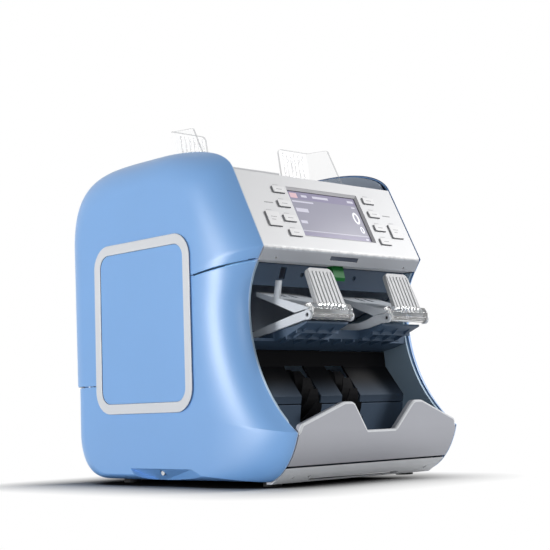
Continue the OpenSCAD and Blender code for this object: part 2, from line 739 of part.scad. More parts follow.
upper_leg = [[-3, 6], [17, 3.1], [47.4, 15.1], [69, 22.9], [69, 27.7], [45, 20.2], [32.4, 17.2], [4, 8.7]];
bent_leg = [[-4, -3.4], [0, -3.8], [12, -6.3], [24, -8.7], [38, -9.7], [66, -9.5], [70, -7.5], [70, -4.5],
    [66, -2.8], [38, -2.8], [26, -0.3], [17, 3.1], [0, 4.2]];
straight_leg = [[-4, -3.4], [0, -3.8], [76, -18.2], [79, -16.4], [79, -13], [76, -11.4], [17, 1.6], [0, 4.2]];
hub_r = 4.8;

module arm_shape(x, lower_leg) {
    x0 = x - stopper_w / 2 - seat_gap - arm_t;
    x1 = x + stopper_w / 2 + seat_gap;
    difference() {
        union() {
            along_x(x0, x0 + arm_t) translate(pivot) polygon(upper_leg);
            along_x(x0, x0 + arm_t) translate(pivot) polygon(lower_leg);
            rod(pivot, hub_r, x0, x0 + arm_t);
            along_x(x1, x1 + arm_t) translate(pivot)
                polygon([[-3, 4], [5, -3], [40, 13], [44, 20], [32.4, 17.2], [4, 8.7]]);
            rod(pivot, hub_r, x1, x1 + arm_t);
            along_x(x0, x1 + arm_t) translate(pivot)
                polygon([[12, 11.1], [32.4, 17.2], [45, 20.2], [69, 27.7], [69, 25.3], [45, 17.8],
                    [32.4, 14.8], [12, 8.7]]);
        }
        rod(pivot, pin_r + press_fit, x0 - 1, x1 + arm_t + 1);
        for (w = [0.35, 0.6]) block([x0 + stopper_w * w, x0 + stopper_w * w + 6],
            [pivot_d + 48, pivot_d + 64], [pivot_z, pivot_z + 40]);
    }
}

module reject_arm_left() {
    fin_x = -stopper_pitch / 2 - stopper_w / 2 - seat_gap - arm_t;
    color("#c9ced4") {
        arm_shape(-stopper_pitch / 2, straight_leg);
        along_x(fin_x, fin_x + arm_t) translate(pivot) polygon([[38, 17], [45, 20], [41, 36.4], [35, 35.8]]);
        along_x(fin_x, fin_x + 6.5) translate(pivot) polygon([[43, 17], [45, 18], [41, 36.4], [39, 36.2]]);
    }
}

module reject_arm_right() {
    color("#c9ced4") arm_shape(stopper_pitch / 2, bent_leg);
}

module stopper_shape(x) {
    plate = rounded([[-plate_w / 2, -4], [plate_w / 2, -4], [plate_w / 2 - 3, plate_l],
        [3 - plate_w / 2, plate_l]],
        [0, 0, 6, 6]);
    rib_pitch = plate_w / 8;
    color("#e8eef2") difference() {
        union() {
            along_x(x - stopper_w / 2, x + stopper_w / 2) translate(pivot)
                polygon([[-6.4, -1], [6, -1], [6, 9], [3.5, 11.5], [-2.5, 11.5], [-6.4, 6]]);
            rod(pivot, hub_r - 1, x - stopper_w / 2, x + stopper_w / 2);
            translate([x, tip_y + pivot_d - 4, pivot_z + 10]) rotate([-plate_lean, 0, 0]) {
                translate([0, plate_t, 0]) rotate([90, 0, 0]) linear_extrude(plate_t) polygon(plate);
                for (i = [-3:3]) translate([i * rib_pitch - rib_pitch / 4, -plate_rib, 1])
                    cube([rib_pitch / 2, plate_rib + 0.8, plate_l - 5]);
            }
        }
        rod(pivot, pin_r + run_fit, x - stopper_w, x + stopper_w);
        for (i = [-3:2]) block([x + (i + 0.3) * rib_pitch, x + (i + 0.7) * rib_pitch],
            [pivot_d - 7, pivot_d - 3.4], [pivot_z + 5.5, pivot_z + 16]);
    }
}

module reject_stopper_left() {
    stopper_shape(-stopper_pitch / 2);
}

module reject_stopper_right() {
    stopper_shape(stopper_pitch / 2);
}

// Pins of the stoppers and of the hinge
module pivot_pins() {
    reach = stopper_w / 2 + seat_gap + arm_t - 1.6;
    color("silver") {
        for (s = [-1, 1]) rod(pivot, pin_r, s * stopper_pitch / 2 - reach, s * stopper_pitch / 2 + reach);
        for (s = [0, 1]) mirror([s, 0, 0]) rod(hinge, hinge_r, plate_x0 - plate_m - side_gap, plate_x1);
    }
}

// Stacker drive
module stacker_shaft() {
    color("silver") rod(shaft, shaft_r, -plate_x1, pulley_x + pulley_w);
}

vane_root = 17;
vane_sweep = 52;
vane_t = 3;

// Vane that trails as it goes outward; its tip narrows
function vane_point(f, side) = let (r = vane_root + (wheel_r - vane_root) * f, w = -vane_sweep * f)
    (r + side * vane_t / 2 * (1 - 0.7 * f)) * [cos(w), sin(w)];
vane = concat([for (i = [0:8]) vane_point(i / 8, -1)], [for (i = [8:-1:0]) vane_point(i / 8, 1)]);

module wheel_shape(x) {
    color("#17181a") difference() {
        union() {
            rod(shaft, vane_root + 2, x - wheel_w / 2, x + wheel_w / 2);
            intersection() {
                along_x(x - wheel_w / 2, x + wheel_w / 2) translate(shaft)
                    for (i = [0:vane_count - 1]) rotate(i * 360 / vane_count) polygon(vane);
                translate([x, tip_y + shaft[0], shaft[1]]) rotate([0, 90, 0]) rotate_extrude() polygon([
                    [0, -wheel_w / 2], [vane_full_r, -wheel_w / 2], [wheel_r + vane_t, -vane_tip_w / 2],
                    [wheel_r + vane_t, vane_tip_w / 2], [vane_full_r, wheel_w / 2], [0, wheel_w / 2]]);
            }
        }
        rod(shaft, shaft_r + press_fit, x - wheel_w, x + wheel_w);
    }
}

module stacker_wheel_left() {
    wheel_shape(-wheel_pitch / 2);
}

module stacker_wheel_right() {
    wheel_shape(wheel_pitch / 2);
}

module flanged_pulley(at, r) {
    rod(at, r, pulley_x, pulley_x + pulley_w);
    for (x = [pulley_x, pulley_x + pulley_w - 1]) rod(at, r + 2, x, x + 1);
}

module stacker_pulley() {
    color("#d8d8d2") difference() {
        flanged_pulley(shaft, pulley_r);
        rod(shaft, shaft_r + press_fit, half, flat_x);
    }
}

spindle_r = 2.5;
spindle_in = 20;

module motor_pulley() {
    color("#d8d8d2") {
        flanged_pulley(spindle, pinion_r);
        rod(spindle, spindle_r, inner_x - spindle_in, pulley_x);
    }
}

module stacker_motor() {
    color("#777c80") difference() {
        union() {
            rod(spindle, motor_r, inner_x - 50, inner_x);
            rod(spindle, pinion_r - 2.3, inner_x, plate_x1);
        }
        rod(spindle, spindle_r + run_fit, inner_x - spindle_in - 0.5, half);
    }
}

// Loop of belt round two pulleys
function belt_loop(grow) =
    let (v = spindle - shaft, a = atan2(v[1], v[0]), k = acos((pulley_r - pinion_r) / norm(v)))
    concat(arc(shaft, pulley_r + grow, a + k, a + 360 - k, 28),
        [shaft + (pulley_r + grow) * [cos(a - k), sin(a - k)]],
        arc(spindle, pinion_r + grow, a - k, a + k, 16),
        [spindle + (pinion_r + grow) * [cos(a + k), sin(a + k)]]);

module stacker_belt() {
    color("#202224") along_x(pulley_x + 1.5, pulley_x + pulley_w - 1.5) difference() {
        polygon(belt_loop(seat_gap + 1.3));
        polygon(belt_loop(seat_gap));
    }
}

// Inside of the lower unit
sensor_d = 198;

module image_sensor() {
    top = split(sensor_d) - 5;
    color("#2b2e33") block([-inner_x, inner_x], [sensor_d - 8, sensor_d + 8], [top - 14, top]);
}

module main_board() {
    low = pan_top + post_h;
    chip = 16;
    color("#2f6b46") {
        block(board_x, [board_front, board_back], [low, low + 1.6]);
        for (p = [[22, 0.22], [52, 0.22], [32, 0.55], [72, 0.68]])
            let (x = board_x[0] + p[0], d = board_front + p[1] * (board_back - board_front))
                block([x, x + chip], [d, d + chip], [low + 1.6, low + 5]);
        block([board_x[0] + 6, board_x[0] + 52], [board_back - 12, board_back - 2], [low + 1.6, low + 11]);
    }
}

module power_supply() {
    color("#9aa0a6") block([board_x[1] + 10, inner_x - 12], [motor_d + 2 * motor_r, pan_back - 11],
        [pan_top, pan_top + 36]);
}

// Side plates of the upper unit
upper_in = beside(upper_open, -edge_in);
function behind_panel(v, t) = fold + v * up_slope + t * in_slope;
frame_clear = panel_t + 2.2;
frame_low = lip[1] + flange_t + 0.5;
upper_outline = concat(
    [[flange_end + 2, split(flange_end + 2) + split_gap], [flange_end + 2, frame_low],
        [lip[0] + 5.5, frame_low],
        behind_panel(6, frame_clear), behind_panel(panel_len - 3, frame_clear)],
    part_of(upper_in, 10, 35),
    [[rear_up - edge_in - 0.5, hinge[1] + 14], [hinge[0] + lug_r, hinge[1] + 2],
        [hinge[0], hinge[1] - 1], [hinge[0] - 3, split(hinge[0] - 3) + split_gap]]);

module upper_frame_shape() {
    difference() {
        union() {
            along_x(plate_x0, plate_x1) polygon(upper_outline);
            rod(hinge, lug_r, plate_x0, plate_x1);
        }
        rod(hinge, hinge_r + run_fit, half - 30, half + 1);
        rod([feed_d, feed_z], shaft_r + run_fit, half - 30, half + 1);
    }
}

module upper_frame_left() {
    color("#454c52") left_side() upper_frame_shape();
}

module upper_frame_right() {
    color("#454c52") upper_frame_shape();
}

// Keys as [middle x, lowest v, width, height]
function small_key(x, i) = [x, key_v + i * key_pitch, key_w, key_h];
keys = concat([for (x = [left_x, right_x], i = [0:3]) small_key(x, i)],
    [[left_big_x, big_v, big_w, big_h], [right_big_x, big_v, big_w, big_h]]);

module key_block(k, grow, r, z0, z1) {
    translate([k[0] - k[2] / 2 - grow, k[1] - grow, z0]) linear_extrude(z1 - z0)
        polygon(rounded_box(k[2] + 2 * grow, k[3] + 2 * grow, r, 4));
}

module key_cap(k) {
    skirt = -panel_t - seat_gap;
    color("#d6d8db") on_panel() {
        key_block(k, 0, 1.2, skirt - 1, key_proud);
        key_block(k, 1.4, 1.2, skirt - 1.6, skirt);
        translate([k[0], k[1] + k[3] / 2, skirt - 3.6]) cylinder(r = 2, h = 3);
    }
}

module key_left_1() {
    key_cap(keys[0]);
}

module key_left_2() {
    key_cap(keys[1]);
}

module key_left_3() {
    key_cap(keys[2]);
}

module key_left_4() {
    key_cap(keys[3]);
}

module key_left_big() {
    key_cap(keys[8]);
}

module key_right_1() {
    key_cap(keys[4]);
}

module key_right_2() {
    key_cap(keys[5]);
}

module key_right_3() {
    key_cap(keys[6]);
}

module key_right_4() {
    key_cap(keys[7]);
}

module key_right_big() {
    key_cap(keys[9]);
}

// Control panel: sloped plate, lip and flange in one bent moulding
board_v = [10, key_v + 3 * key_pitch + key_h + 2];
boss_spots = [for (x = [-1, 1], v = [board_v[0] + 3.5, board_v[1] - 4]) [x * (front_x - 8), v]];
lever_w = 16;
lug_t = 2.5;

module control_panel() {
    path = [panel_top, fold, lip, [flange_end, lip[1]]];
    lug_x = lever_w / 2 + seat_gap;
    color("#c8cacd") difference() {
        union() {
            along_x(-front_x, front_x) polygon(sheet(path, panel_t));
            on_panel() for (p = boss_spots)
                translate([p[0], p[1], -board_in]) cylinder(r = 3, h = board_in - 1);
            for (x = [-lug_x - lug_t, lug_x]) along_x(x, x + lug_t)
                polygon([[lever_pin[0] - 4, lip[1] + 1], [flange_end, lip[1] + 1], [flange_end, lever_pin[1]],
                    [lever_pin[0] + 3, lever_pin[1] + 4], [lever_pin[0] - 3, lever_pin[1] + 4]]);
        }
        on_panel() {
            translate([window_x - window_w / 2, window_v, -panel_t - 1])
                cube([window_w, window_h, panel_t + 2]);
            for (k = keys) key_block(k, key_gap, 1.2, -panel_t - 1, 1);
        }
        on_lip() {
            translate([-20, 4.5, -1]) cube([40, 5, panel_t + 2]);
            for (x = [-93, 93]) translate([x, 11, -1]) cylinder(r = 1.2, h = panel_t + 2);
        }
        block([-lever_w / 2 - seat_gap, lever_w / 2 + seat_gap], [lip[0] + 3, flange_end + 5],
            [lip[1] - 1, lip[1] + panel_t + 1]);
        rod(lever_pin, 1.8 + run_fit, -30, 30);
    }
}

module display_module() {
    color("#3a3650") on_panel() translate([window_x, window_v + window_h / 2, -panel_t - screen_gap]) {
        translate([-window_w / 2 - 2, -window_h / 2 - 1, -4]) cube([window_w + 4, window_h + 2, 4]);
        translate([-window_w / 2, -window_h / 2, -5.6]) cube([window_w, window_h, 1.7]);
    }
}

module keypad_board() {
    switch_top = -panel_t - seat_gap - 3.6 - key_travel - 0.4;
    color("#2f6b46") on_panel() {
        translate([-inner_x + 0.5, board_v[0], -board_in - 1.6])
            cube([2 * inner_x - 1, board_v[1] - board_v[0], 1.6]);
        for (k = keys) translate([k[0] - 3, k[1] + k[3] / 2 - 3, -board_in - 0.1])
            cube([6, 6, board_in + switch_top + 0.1]);
    }
}

// Wall behind the reject pocket and the green release lever
module reject_back_wall() {
    top = [flange_end + 1.2, lip[1] - 0.4];
    color("#45505f") difference() {
        along_x(-inner_x, inner_x) polygon(sheet([top, top + [8.5, -21]], sheet_t));
        for (x = [-38, 38]) translate([x, tip_y + flange_end, lip[1] - 9]) rotate([-90, 0, 0])
            cylinder(r = 2.2, h = 20);
        block([-69, -61], [flange_end - 5, flange_end + 20], [lip[1] - 14, lip[1] - 3]);
    }
}

module release_lever() {
    grip = [[-3, 1], [3, 1], [2.5, -13], [-1, -22.5], [-5.5, -23.5], [-6.5, -20], [-4.3, -11]];
    color("#1f9a3c") {
        along_x(-lever_w / 2, lever_w / 2) translate(lever_pin) polygon(grip);
        rod(lever_pin, 1.8, -lever_w / 2 - seat_gap - lug_t, lever_w / 2 + seat_gap + lug_t);
    }
}

// Hopper with its guides
hopper_path = [bed_front + [-4.5, 30], bed_front, [rear_wall_d, bed(rear_wall_d)],
    [rear_wall_d + 5, bed(rear_wall_d) + 25]];
roller_x = 32;
roller_w = 22;

module hopper_tray() {
    color("#7f868d") difference() {
        union() {
            along_x(-inner_x, inner_x) polygon(sheet(hopper_path, -sheet_t));
            along_x(-inner_x, -45)
                polygon(sheet([hopper_path[0] + [-1.2, 8], hopper_path[0] + [0.15, -1]], -sheet_t));
        }
        for (s = [-1, 1]) {
            block([s * roller_x - roller_w / 2 - 1.5, s * roller_x + roller_w / 2 + 1.5],
                [feed_d - feed_r - 1, feed_d + feed_r + 1], [bed(feed_d) - 20, bed(feed_d) + 10]);
            translate([s * (guide_pitch / 2 - 17), 0, 0])
                block([-24, 24], [slot_d, slot_d + slot_w], [bed(slot_d) - 15, bed(slot_d) + 10]);
        }
    }
}

module guide_shape() {
    x = guide_pitch / 2;
    lift = 0.4;
    low = bed(guide_foot) + lift;
    tall = (guide_z - low) / cos(guide_lean) - guide_t * tan(guide_lean);
    brow = guide_d - 35;
    toe = guide_d - 79;
    back = rounded([[x - guide_w, 18], [x - guide_w + 18, 0], [x + guide_t, 0], [x + guide_t, tall],
        [x - guide_w, tall]], [0, 0, 0, 0, 5]);
    color("#eef2f4") {
        along_x(x, x + guide_t) polygon(rounded([[guide_foot, low],
            [guide_foot, low] + tall * [sin(guide_lean), cos(guide_lean)], [brow, guide_z - 2.5],
            [toe, bed(toe) + lift]], [0, 0, 3, 2]));
        translate([0, tip_y + guide_foot, low]) rotate([90 - guide_lean, 0, 0]) {
            linear_extrude(guide_t) polygon(back);
            for (i = [1:6]) translate([x - guide_w + 6 * i - 0.8, 26, guide_t - 0.1])
                cube([1.6, tall - 30, guide_rib + 0.1]);
        }
        block([x - 3, x + guide_t], [slot_d + seat_gap, slot_d + slot_w - seat_gap],
            [bed(slot_d) - sheet_t - 3, bed(slot_d) + 3]);
    }
}

module hopper_guide_left() {
    left_side() guide_shape();
}

module hopper_guide_right() {
    guide_shape();
}

// Feed drive
feed = [feed_d, feed_z];
feed_end = half + 10;

module feed_shaft() {
    color("silver") rod(feed, shaft_r, -plate_x1, feed_end);
}

module feed_rollers() {
    color("#26282b") for (s = [-1, 1]) difference() {
        rod(feed, feed_r, s * roller_x - roller_w / 2, s * roller_x + roller_w / 2);
        rod(feed, shaft_r + press_fit, s * roller_x - roller_w, s * roller_x + roller_w);
    }
}

module feed_motor() {
    color("#777c80") difference() {
        rod(feed, motor_r - 1, half + 0.2, half + 19);
        rod(feed, shaft_r + run_fit, half, feed_end + 0.5);
    }
}

module rear_cover() {
    brink = hopper_path[3] + [sheet_t + 1, 0.5];
    path = concat([brink], bez([crown_d + 75, brink[1] + 3.5], [body_d - 31, brink[1] + 6],
        [rear_up, top_z - 35], [rear_up, shoulder_z - 5], 10),
        [[rear_up, shoulder_z - 5], [rear_up, seam_z + low_seam]]);
    color("#b9bcc1") difference() {
        along_x(-inner_x, inner_x) polygon(sheet(path, -sheet_t));
        for (i = [0:5], s = [-1, 1]) block([s * 60 - 30, s * 60 + 30], [rear_up - 10, rear_up + 5],
            [seam_z + 30 + 9 * i, seam_z + 34 + 9 * i]);
    }
}

base_pan();
feet();
lower_cover_left();
lower_cover_right();
cover_screws();
apron();
base_strip();
rear_lower_panel();
power_inlet();
power_switch();
chassis_left();
chassis_right();
stacker_floor();
stacker_back();
reject_tray();
reject_arm_left();
reject_arm_right();
pivot_pins();
reject_stopper_left();
reject_stopper_right();
stacker_shaft();
stacker_wheel_left();
stacker_wheel_right();
stacker_pulley();
stacker_motor();
motor_pulley();
stacker_belt();
image_sensor();
main_board();
power_supply();
upper_cover_left();
upper_cover_right();
side_panel_left();
side_panel_right();
side_trim_left();
side_trim_right();
upper_frame_left();
upper_frame_right();
control_panel();
display_module();
keypad_board();
key_left_1();
key_left_2();
key_left_3();
key_left_4();
key_left_big();
key_right_1();
key_right_2();
key_right_3();
key_right_4();
key_right_big();
reject_back_wall();
release_lever();
hopper_tray();
hopper_guide_left();
hopper_guide_right();
feed_shaft();
feed_rollers();
feed_motor();
rear_cover();
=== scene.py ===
import math

import bmesh
import bpy
from bpy.props import FloatProperty, FloatVectorProperty, IntProperty, PointerProperty
from mathutils import Matrix, Vector


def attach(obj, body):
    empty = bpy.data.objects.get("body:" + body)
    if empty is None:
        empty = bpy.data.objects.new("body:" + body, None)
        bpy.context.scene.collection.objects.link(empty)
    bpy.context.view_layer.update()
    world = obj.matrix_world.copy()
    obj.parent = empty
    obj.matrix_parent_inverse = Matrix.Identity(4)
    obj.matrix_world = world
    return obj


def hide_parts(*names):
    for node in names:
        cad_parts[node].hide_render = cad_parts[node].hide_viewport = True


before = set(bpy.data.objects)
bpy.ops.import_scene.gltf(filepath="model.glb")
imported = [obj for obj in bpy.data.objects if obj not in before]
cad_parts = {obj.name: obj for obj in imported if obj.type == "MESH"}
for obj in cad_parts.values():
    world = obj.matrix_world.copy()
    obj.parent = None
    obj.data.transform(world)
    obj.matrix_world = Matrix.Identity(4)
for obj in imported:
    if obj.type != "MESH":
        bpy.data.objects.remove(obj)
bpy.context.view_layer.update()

bl_info = {
    "name": "Banknote Counter",
    "version": (1, 0, 0),
    "blender": (4, 5, 0),
    "location": "View3D > Sidebar > Counter",
    "description": "Dresses the packed banknote counter with its covers, panel, keys, screen and pockets",
    "category": "Object",
}

MM = 0.001
TIP_Y = -163.0  # row Y of the covers' front crease, in millimetres

# Settings


def size(name, description, value):
    return FloatProperty(name=name, description=description, default=value * MM, unit="LENGTH", precision=5)


def colour(name, description, value):
    return FloatVectorProperty(name=name, description=description, default=value, subtype="COLOR", size=3,
                               min=0.0, max=1.0)


class CounterSizes(bpy.types.PropertyGroup):
    rim_round: size("Rim round", "Rounding of the covers' free edges", 1.4)
    fold_round: size("Fold round", "Rounding where the panel folds into its lip", 2.5)
    panel_round: size("Panel round", "Rounding of the control panel's edges", 0.7)
    key_round: size("Key round", "Rounding of the keys' tops", 0.6)
    trim_round: size("Trim round", "Rounding of the side frames", 1.2)
    apron_bevel: size("Apron bevel", "Bevel along the apron's upper front edge", 2.4)
    small_round: size("Small round", "Rounding of small mouldings", 0.4)
    bezel_drop: size("Bezel drop", "Depth of the screen behind the panel", 3.2)
    bezel_width: size("Bezel width", "Width of the slanted frame round the screen", 2.6)
    gasket: size("Gasket", "Height of the dark seal round the screen", 1.0)
    mark_height: size("Mark height", "Height of a printed mark over its surface", 0.06)
    cover_rings: IntProperty(name="Cover rings", description="Steps round a cover's curved edge", default=18,
                             min=6, max=40)
    cover_steps: IntProperty(name="Cover steps", description="How much finer the covers' outlines are cut",
                             default=4, min=1, max=8)


class CounterColours(bpy.types.PropertyGroup):
    cover_blue: colour("Cover blue", "Paint of the side covers", (0.185, 0.405, 0.780))
    panel_white: colour("Panel white", "Control panel", (0.71, 0.715, 0.73))
    # Painted shade: the lip is the panel's own moulding, coloured darker for the shade on its downward face.
    lip_shade_silver: colour("Lip silver", "Lip under the control panel", (0.46, 0.485, 0.53))
    silver: colour("Silver", "Apron and rear hood", (0.445, 0.455, 0.50))
    # Painted light: a lighter silver for the apron's upper bevel, as a lit band, and for the base strip, as
    # lit from the floor.
    lit_rim_silver: colour("Rim silver", "Upper edge of the apron and base strip", (0.74, 0.76, 0.79))
    trim_white: colour("Trim white", "Frames on the flat sides", (0.72, 0.74, 0.77))
    # Painted highlight: a pale line along the covers' rims beside the bay, where the rounded edge would catch
    # a lamp.
    rim_highlight_blue: colour("Edge pale", "Rubbed outer line of the covers' rims", (0.42, 0.60, 0.90))
    # Painted shade: navy on rim, seam and frame faces that turn into gaps and grooves.
    shade_navy: colour("Edge blue", "Dark lines at rims, seams and frames", (0.020, 0.055, 0.170))
    key_white: colour("Key white", "Tops of the keys", (0.80, 0.80, 0.81))
    # Painted shade: the keys' sides are coloured dark for the shade on them, the left and right flanks less
    # dark.
    key_side: colour("Key side", "Lower and upper sides of the keys", (0.19, 0.195, 0.21))
    key_flank: colour("Key flank", "Left and right sides of the keys", (0.42, 0.43, 0.45))
    clear_tint: colour("Clear tint", "Clear guides and the stoppers' feet", (0.985, 0.99, 0.99))
    clear_rim: colour("Clear rim", "Narrow edges of the clear guides", (0.30, 0.31, 0.33))
    frosted: colour("Frosted", "Clear stoppers of the reject pocket", (0.40, 0.41, 0.425))
    arm_grey: colour("Arm grey", "Arms of the reject pocket", (0.66, 0.70, 0.75))
    tray_blue: colour("Tray blue", "Tray and wall of the reject pocket", (0.045, 0.082, 0.140))
    stack_grey: colour("Stack grey", "Plates of the stacker", (0.080, 0.114, 0.165))
    frame_grey: colour("Frame grey", "Painted side plates", (0.33, 0.45, 0.56))
    cheek_grey: colour("Cheek grey", "Side plates of the hopper", (0.52, 0.60, 0.72))
    # Painted shade: the pins are near-black metal, standing for the shade in the pivot holes.
    pin_shade_dark: colour("Pin dark", "Pivot pins", (0.03, 0.03, 0.035))
    black: colour("Black", "Wheels, feet and inlet", (0.004, 0.004, 0.005))
    lever_green: colour("Lever green", "Release lever", (0.006, 0.13, 0.025))
    bezel_grey: colour("Bezel grey", "Slanted frame round the screen", (0.56, 0.56, 0.58))
    smoke: colour("Smoke", "Dark window in the lip", (0.085, 0.10, 0.14))
    screen_ground: colour("Screen ground", "Ground of the screen's picture", (0.31, 0.305, 0.375))
    screen_band: colour("Screen band", "Bands of the screen's picture", (0.27, 0.25, 0.36))
    screen_white: colour("Screen white", "Figures of the screen's picture", (0.86, 0.87, 0.92))
    screen_pale: colour("Screen pale", "Bars of the screen's picture", (0.58, 0.57, 0.66))
    screen_rose: colour("Screen rose", "First mark of the screen's picture", (0.68, 0.46, 0.50))
    steel: colour("Steel", "Shafts and screws", (0.58, 0.59, 0.61))
    hopper_grey: colour("Hopper grey", "Hopper tray", (0.76, 0.77, 0.79))
    board_green: colour("Board green", "Circuit boards", (0.03, 0.16, 0.07))


def sizes():
    return bpy.context.scene.counter_sizes


def colours():
    return bpy.context.scene.counter_colours


# Curves


def seg(p, q, n):
    return [p.lerp(q, i / n) for i in range(n)]


def bez(p, q, r, s, n):
    out = []
    for i in range(n):
        t = i / n
        out.append(p * (1 - t) ** 3 + q * 3 * t * (1 - t) ** 2 + r * 3 * t * t * (1 - t) + s * t ** 3)
    return out


def arc(c, r, a, b, n):
    return [c + r * Vector((math.cos(a + (b - a) * i / n), math.sin(a + (b - a) * i / n))) for i in range(n)]


def V(d, z):
    return Vector((d, z))


def beside(path, t):
    """The path moved to its left by t, with mitred corners."""
    last = len(path) - 1
    out = []
    for i, p in enumerate(path):
        a = (path[max(i, 1)] - path[max(i, 1) - 1]).normalized()
        b = (path[min(i + 1, last)] - path[min(i, last - 1)]).normalized()
        a, b = V(-a.y, a.x), V(-b.y, b.x)
        out.append(p + (a + b) * (t / (1 + a.dot(b))))
    return out


def place(x, p):
    """Row position of depth and height p at sideways place x, all in millimetres."""
    return Vector((x * MM, (TIP_Y + p.x) * MM, p.y * MM))


# Main lines of the side covers, in millimetres: depth from the front crease and height
HALF = 114.0
FLAT_X = 140.0
WALL = 2.6
TOP, LOW, TIP, DEPTH = 335.0, 5.0, 50.0, 331.0
WAIST = V(61.0, 168.0)
FOLD = V(38.5, 225.5)
PANEL_ANGLE, LIP_ANGLE = math.radians(63.6), math.radians(58.0)
PANEL_LEN, LIP_LEN = 90.0, 14.1
UP = V(math.cos(PANEL_ANGLE), math.sin(PANEL_ANGLE))
OUT = V(-math.sin(PANEL_ANGLE), math.cos(PANEL_ANGLE))
LIP = FOLD + LIP_LEN * V(math.cos(LIP_ANGLE), -math.sin(LIP_ANGLE))
PANEL_TOP = FOLD + PANEL_LEN * UP
SEAM, FLAT_SEAM, HALF_GAP = 102.0, 204.0, 0.4
REAR_LOW, REAR_UP = DEPTH - 8.5, DEPTH - 2.5
FLAT_FRONT, FLAT_REAR, FLAT_TOP, FLAT_LOW = 111.0, DEPTH - 34.0, TOP - 32.0, LOW + 7.0
CREASE = V(FLAT_FRONT - 14, TIP + 13)
CROWN, SHOULDER, CORNER, FOOT = 180.0, TOP - 80.0, 47.0, 38.0
SEAM_LINE = [V(FLAT_FRONT + 14, FLAT_SEAM), V(FLAT_REAR - 35, SEAM)]
SIDE_GAP = 0.3
RIM_TURN = math.radians(30.0)  # turn of the covers' surface at the panel's edge
TURN_NEAR, TURN_FAR, TURN_LOW, TURN_REST = 90.0, 170.0, WAIST.y + 17, 0.3
RIM_PROUD = 1.3  # how far the covers' rims stand out from the panel's face
EDGE_TURN = 0.72  # rim faces that face the panel or the seam by more than this are painted navy, as shade

# Hand grip in the lower edge of a side cover, in millimetres
GRIP_T, GRIP_WALL, GRIP_TOP, GRIP_LOW = 9.5, 2.2, 17.3, 4.0
GRIP_BROW, GRIP_UNDER = 3.0, 19.0  # depth of the scoop at its upper edge and at its lowest
GRIP_FRONT, GRIP_DEEP, GRIP_BACK = FLAT_FRONT + 10.5, FLAT_FRONT + 83.0, FLAT_FRONT + 108.6
LINING_LOW = FLAT_LOW - 3.4
SCREW_AT, SCREW_HOLE, SCREW_SEAT = V(FLAT_FRONT + 64, 13.0), 2.8, FLAT_X - GRIP_T + 1.3


def ease(t):
    u = max(0.0, min(1.0, t))
    return u * u * (3 - 2 * u)


def rim_angle(p):
    """Where a cover's rounding starts: full beside the panel, little at the waist, none at the back."""
    lift = TURN_REST + (1 - TURN_REST) * ease((p.y - TURN_LOW) / (LIP.y - 2 * HALF_GAP - TURN_LOW))
    return RIM_TURN * ease((TURN_FAR - p.x) / (TURN_FAR - TURN_NEAR)) * lift


def lower_outlines(m):
    """Edge at the bay and edge of the flat side of a lower cover, m times as fine as the solid."""
    bow = (WAIST.x ** 2 + (WAIST.y - TIP) ** 2) / (2 * WAIST.x)
    brow = ((WAIST.x - LIP.x) ** 2 + (LIP.y - WAIST.y) ** 2) / (2 * (WAIST.x - LIP.x))
    s = SEAM - HALF_GAP
    end = LIP.y - HALF_GAP
    low = V(REAR_LOW - CORNER, LOW)
    rear = V(REAR_LOW, LOW + 45)
    edge = seg(V(REAR_LOW, s), rear, 3 * m)
    edge += bez(rear, V(REAR_LOW, LOW + 14), V(REAR_LOW - 20, LOW), low, 8 * m)
    edge += seg(low, V(FOOT, LOW), 4 * m)
    edge += bez(V(FOOT, LOW), V(FOOT - 18, LOW + 5), V(5.5, TIP - 21), V(0, TIP), 8 * m)
    edge += arc(V(WAIST.x - bow, WAIST.y), bow, math.atan2(TIP - WAIST.y, bow - WAIST.x), 0, 12 * m)
    edge += arc(V(WAIST.x - brow, WAIST.y), brow, 0, math.asin((end - WAIST.y) / brow), 7 * m)
    edge.append(V(WAIST.x - brow + math.sqrt(brow ** 2 - (end - WAIST.y) ** 2), end))
    rear = V(FLAT_REAR, LOW + 55)
    low = V(FLAT_REAR - 40, FLAT_LOW)
    front = V(FLAT_FRONT + 5, FLAT_LOW)
    flat = seg(V(FLAT_REAR, s), rear, 3 * m)
    flat += bez(rear, V(FLAT_REAR, LOW + 25), V(FLAT_REAR - 18, FLAT_LOW), low, 8 * m)
    flat += seg(low, front, 4 * m)
    flat += bez(front, V(FLAT_FRONT - 12, FLAT_LOW + 6), V(CREASE.x - 3, CREASE.y - 19), CREASE, 8 * m)
    flat += bez(CREASE, CREASE + V(7, 24), V(FLAT_FRONT, WAIST.y - 45), V(FLAT_FRONT, WAIST.y), 12 * m)
    flat += seg(V(FLAT_FRONT, WAIST.y), V(FLAT_FRONT, FLAT_SEAM - HALF_GAP), 7 * m)
    flat.append(V(FLAT_FRONT, FLAT_SEAM - HALF_GAP))
    return edge, flat, [p - V(0, HALF_GAP) for p in SEAM_LINE], V(190, SEAM - 17)


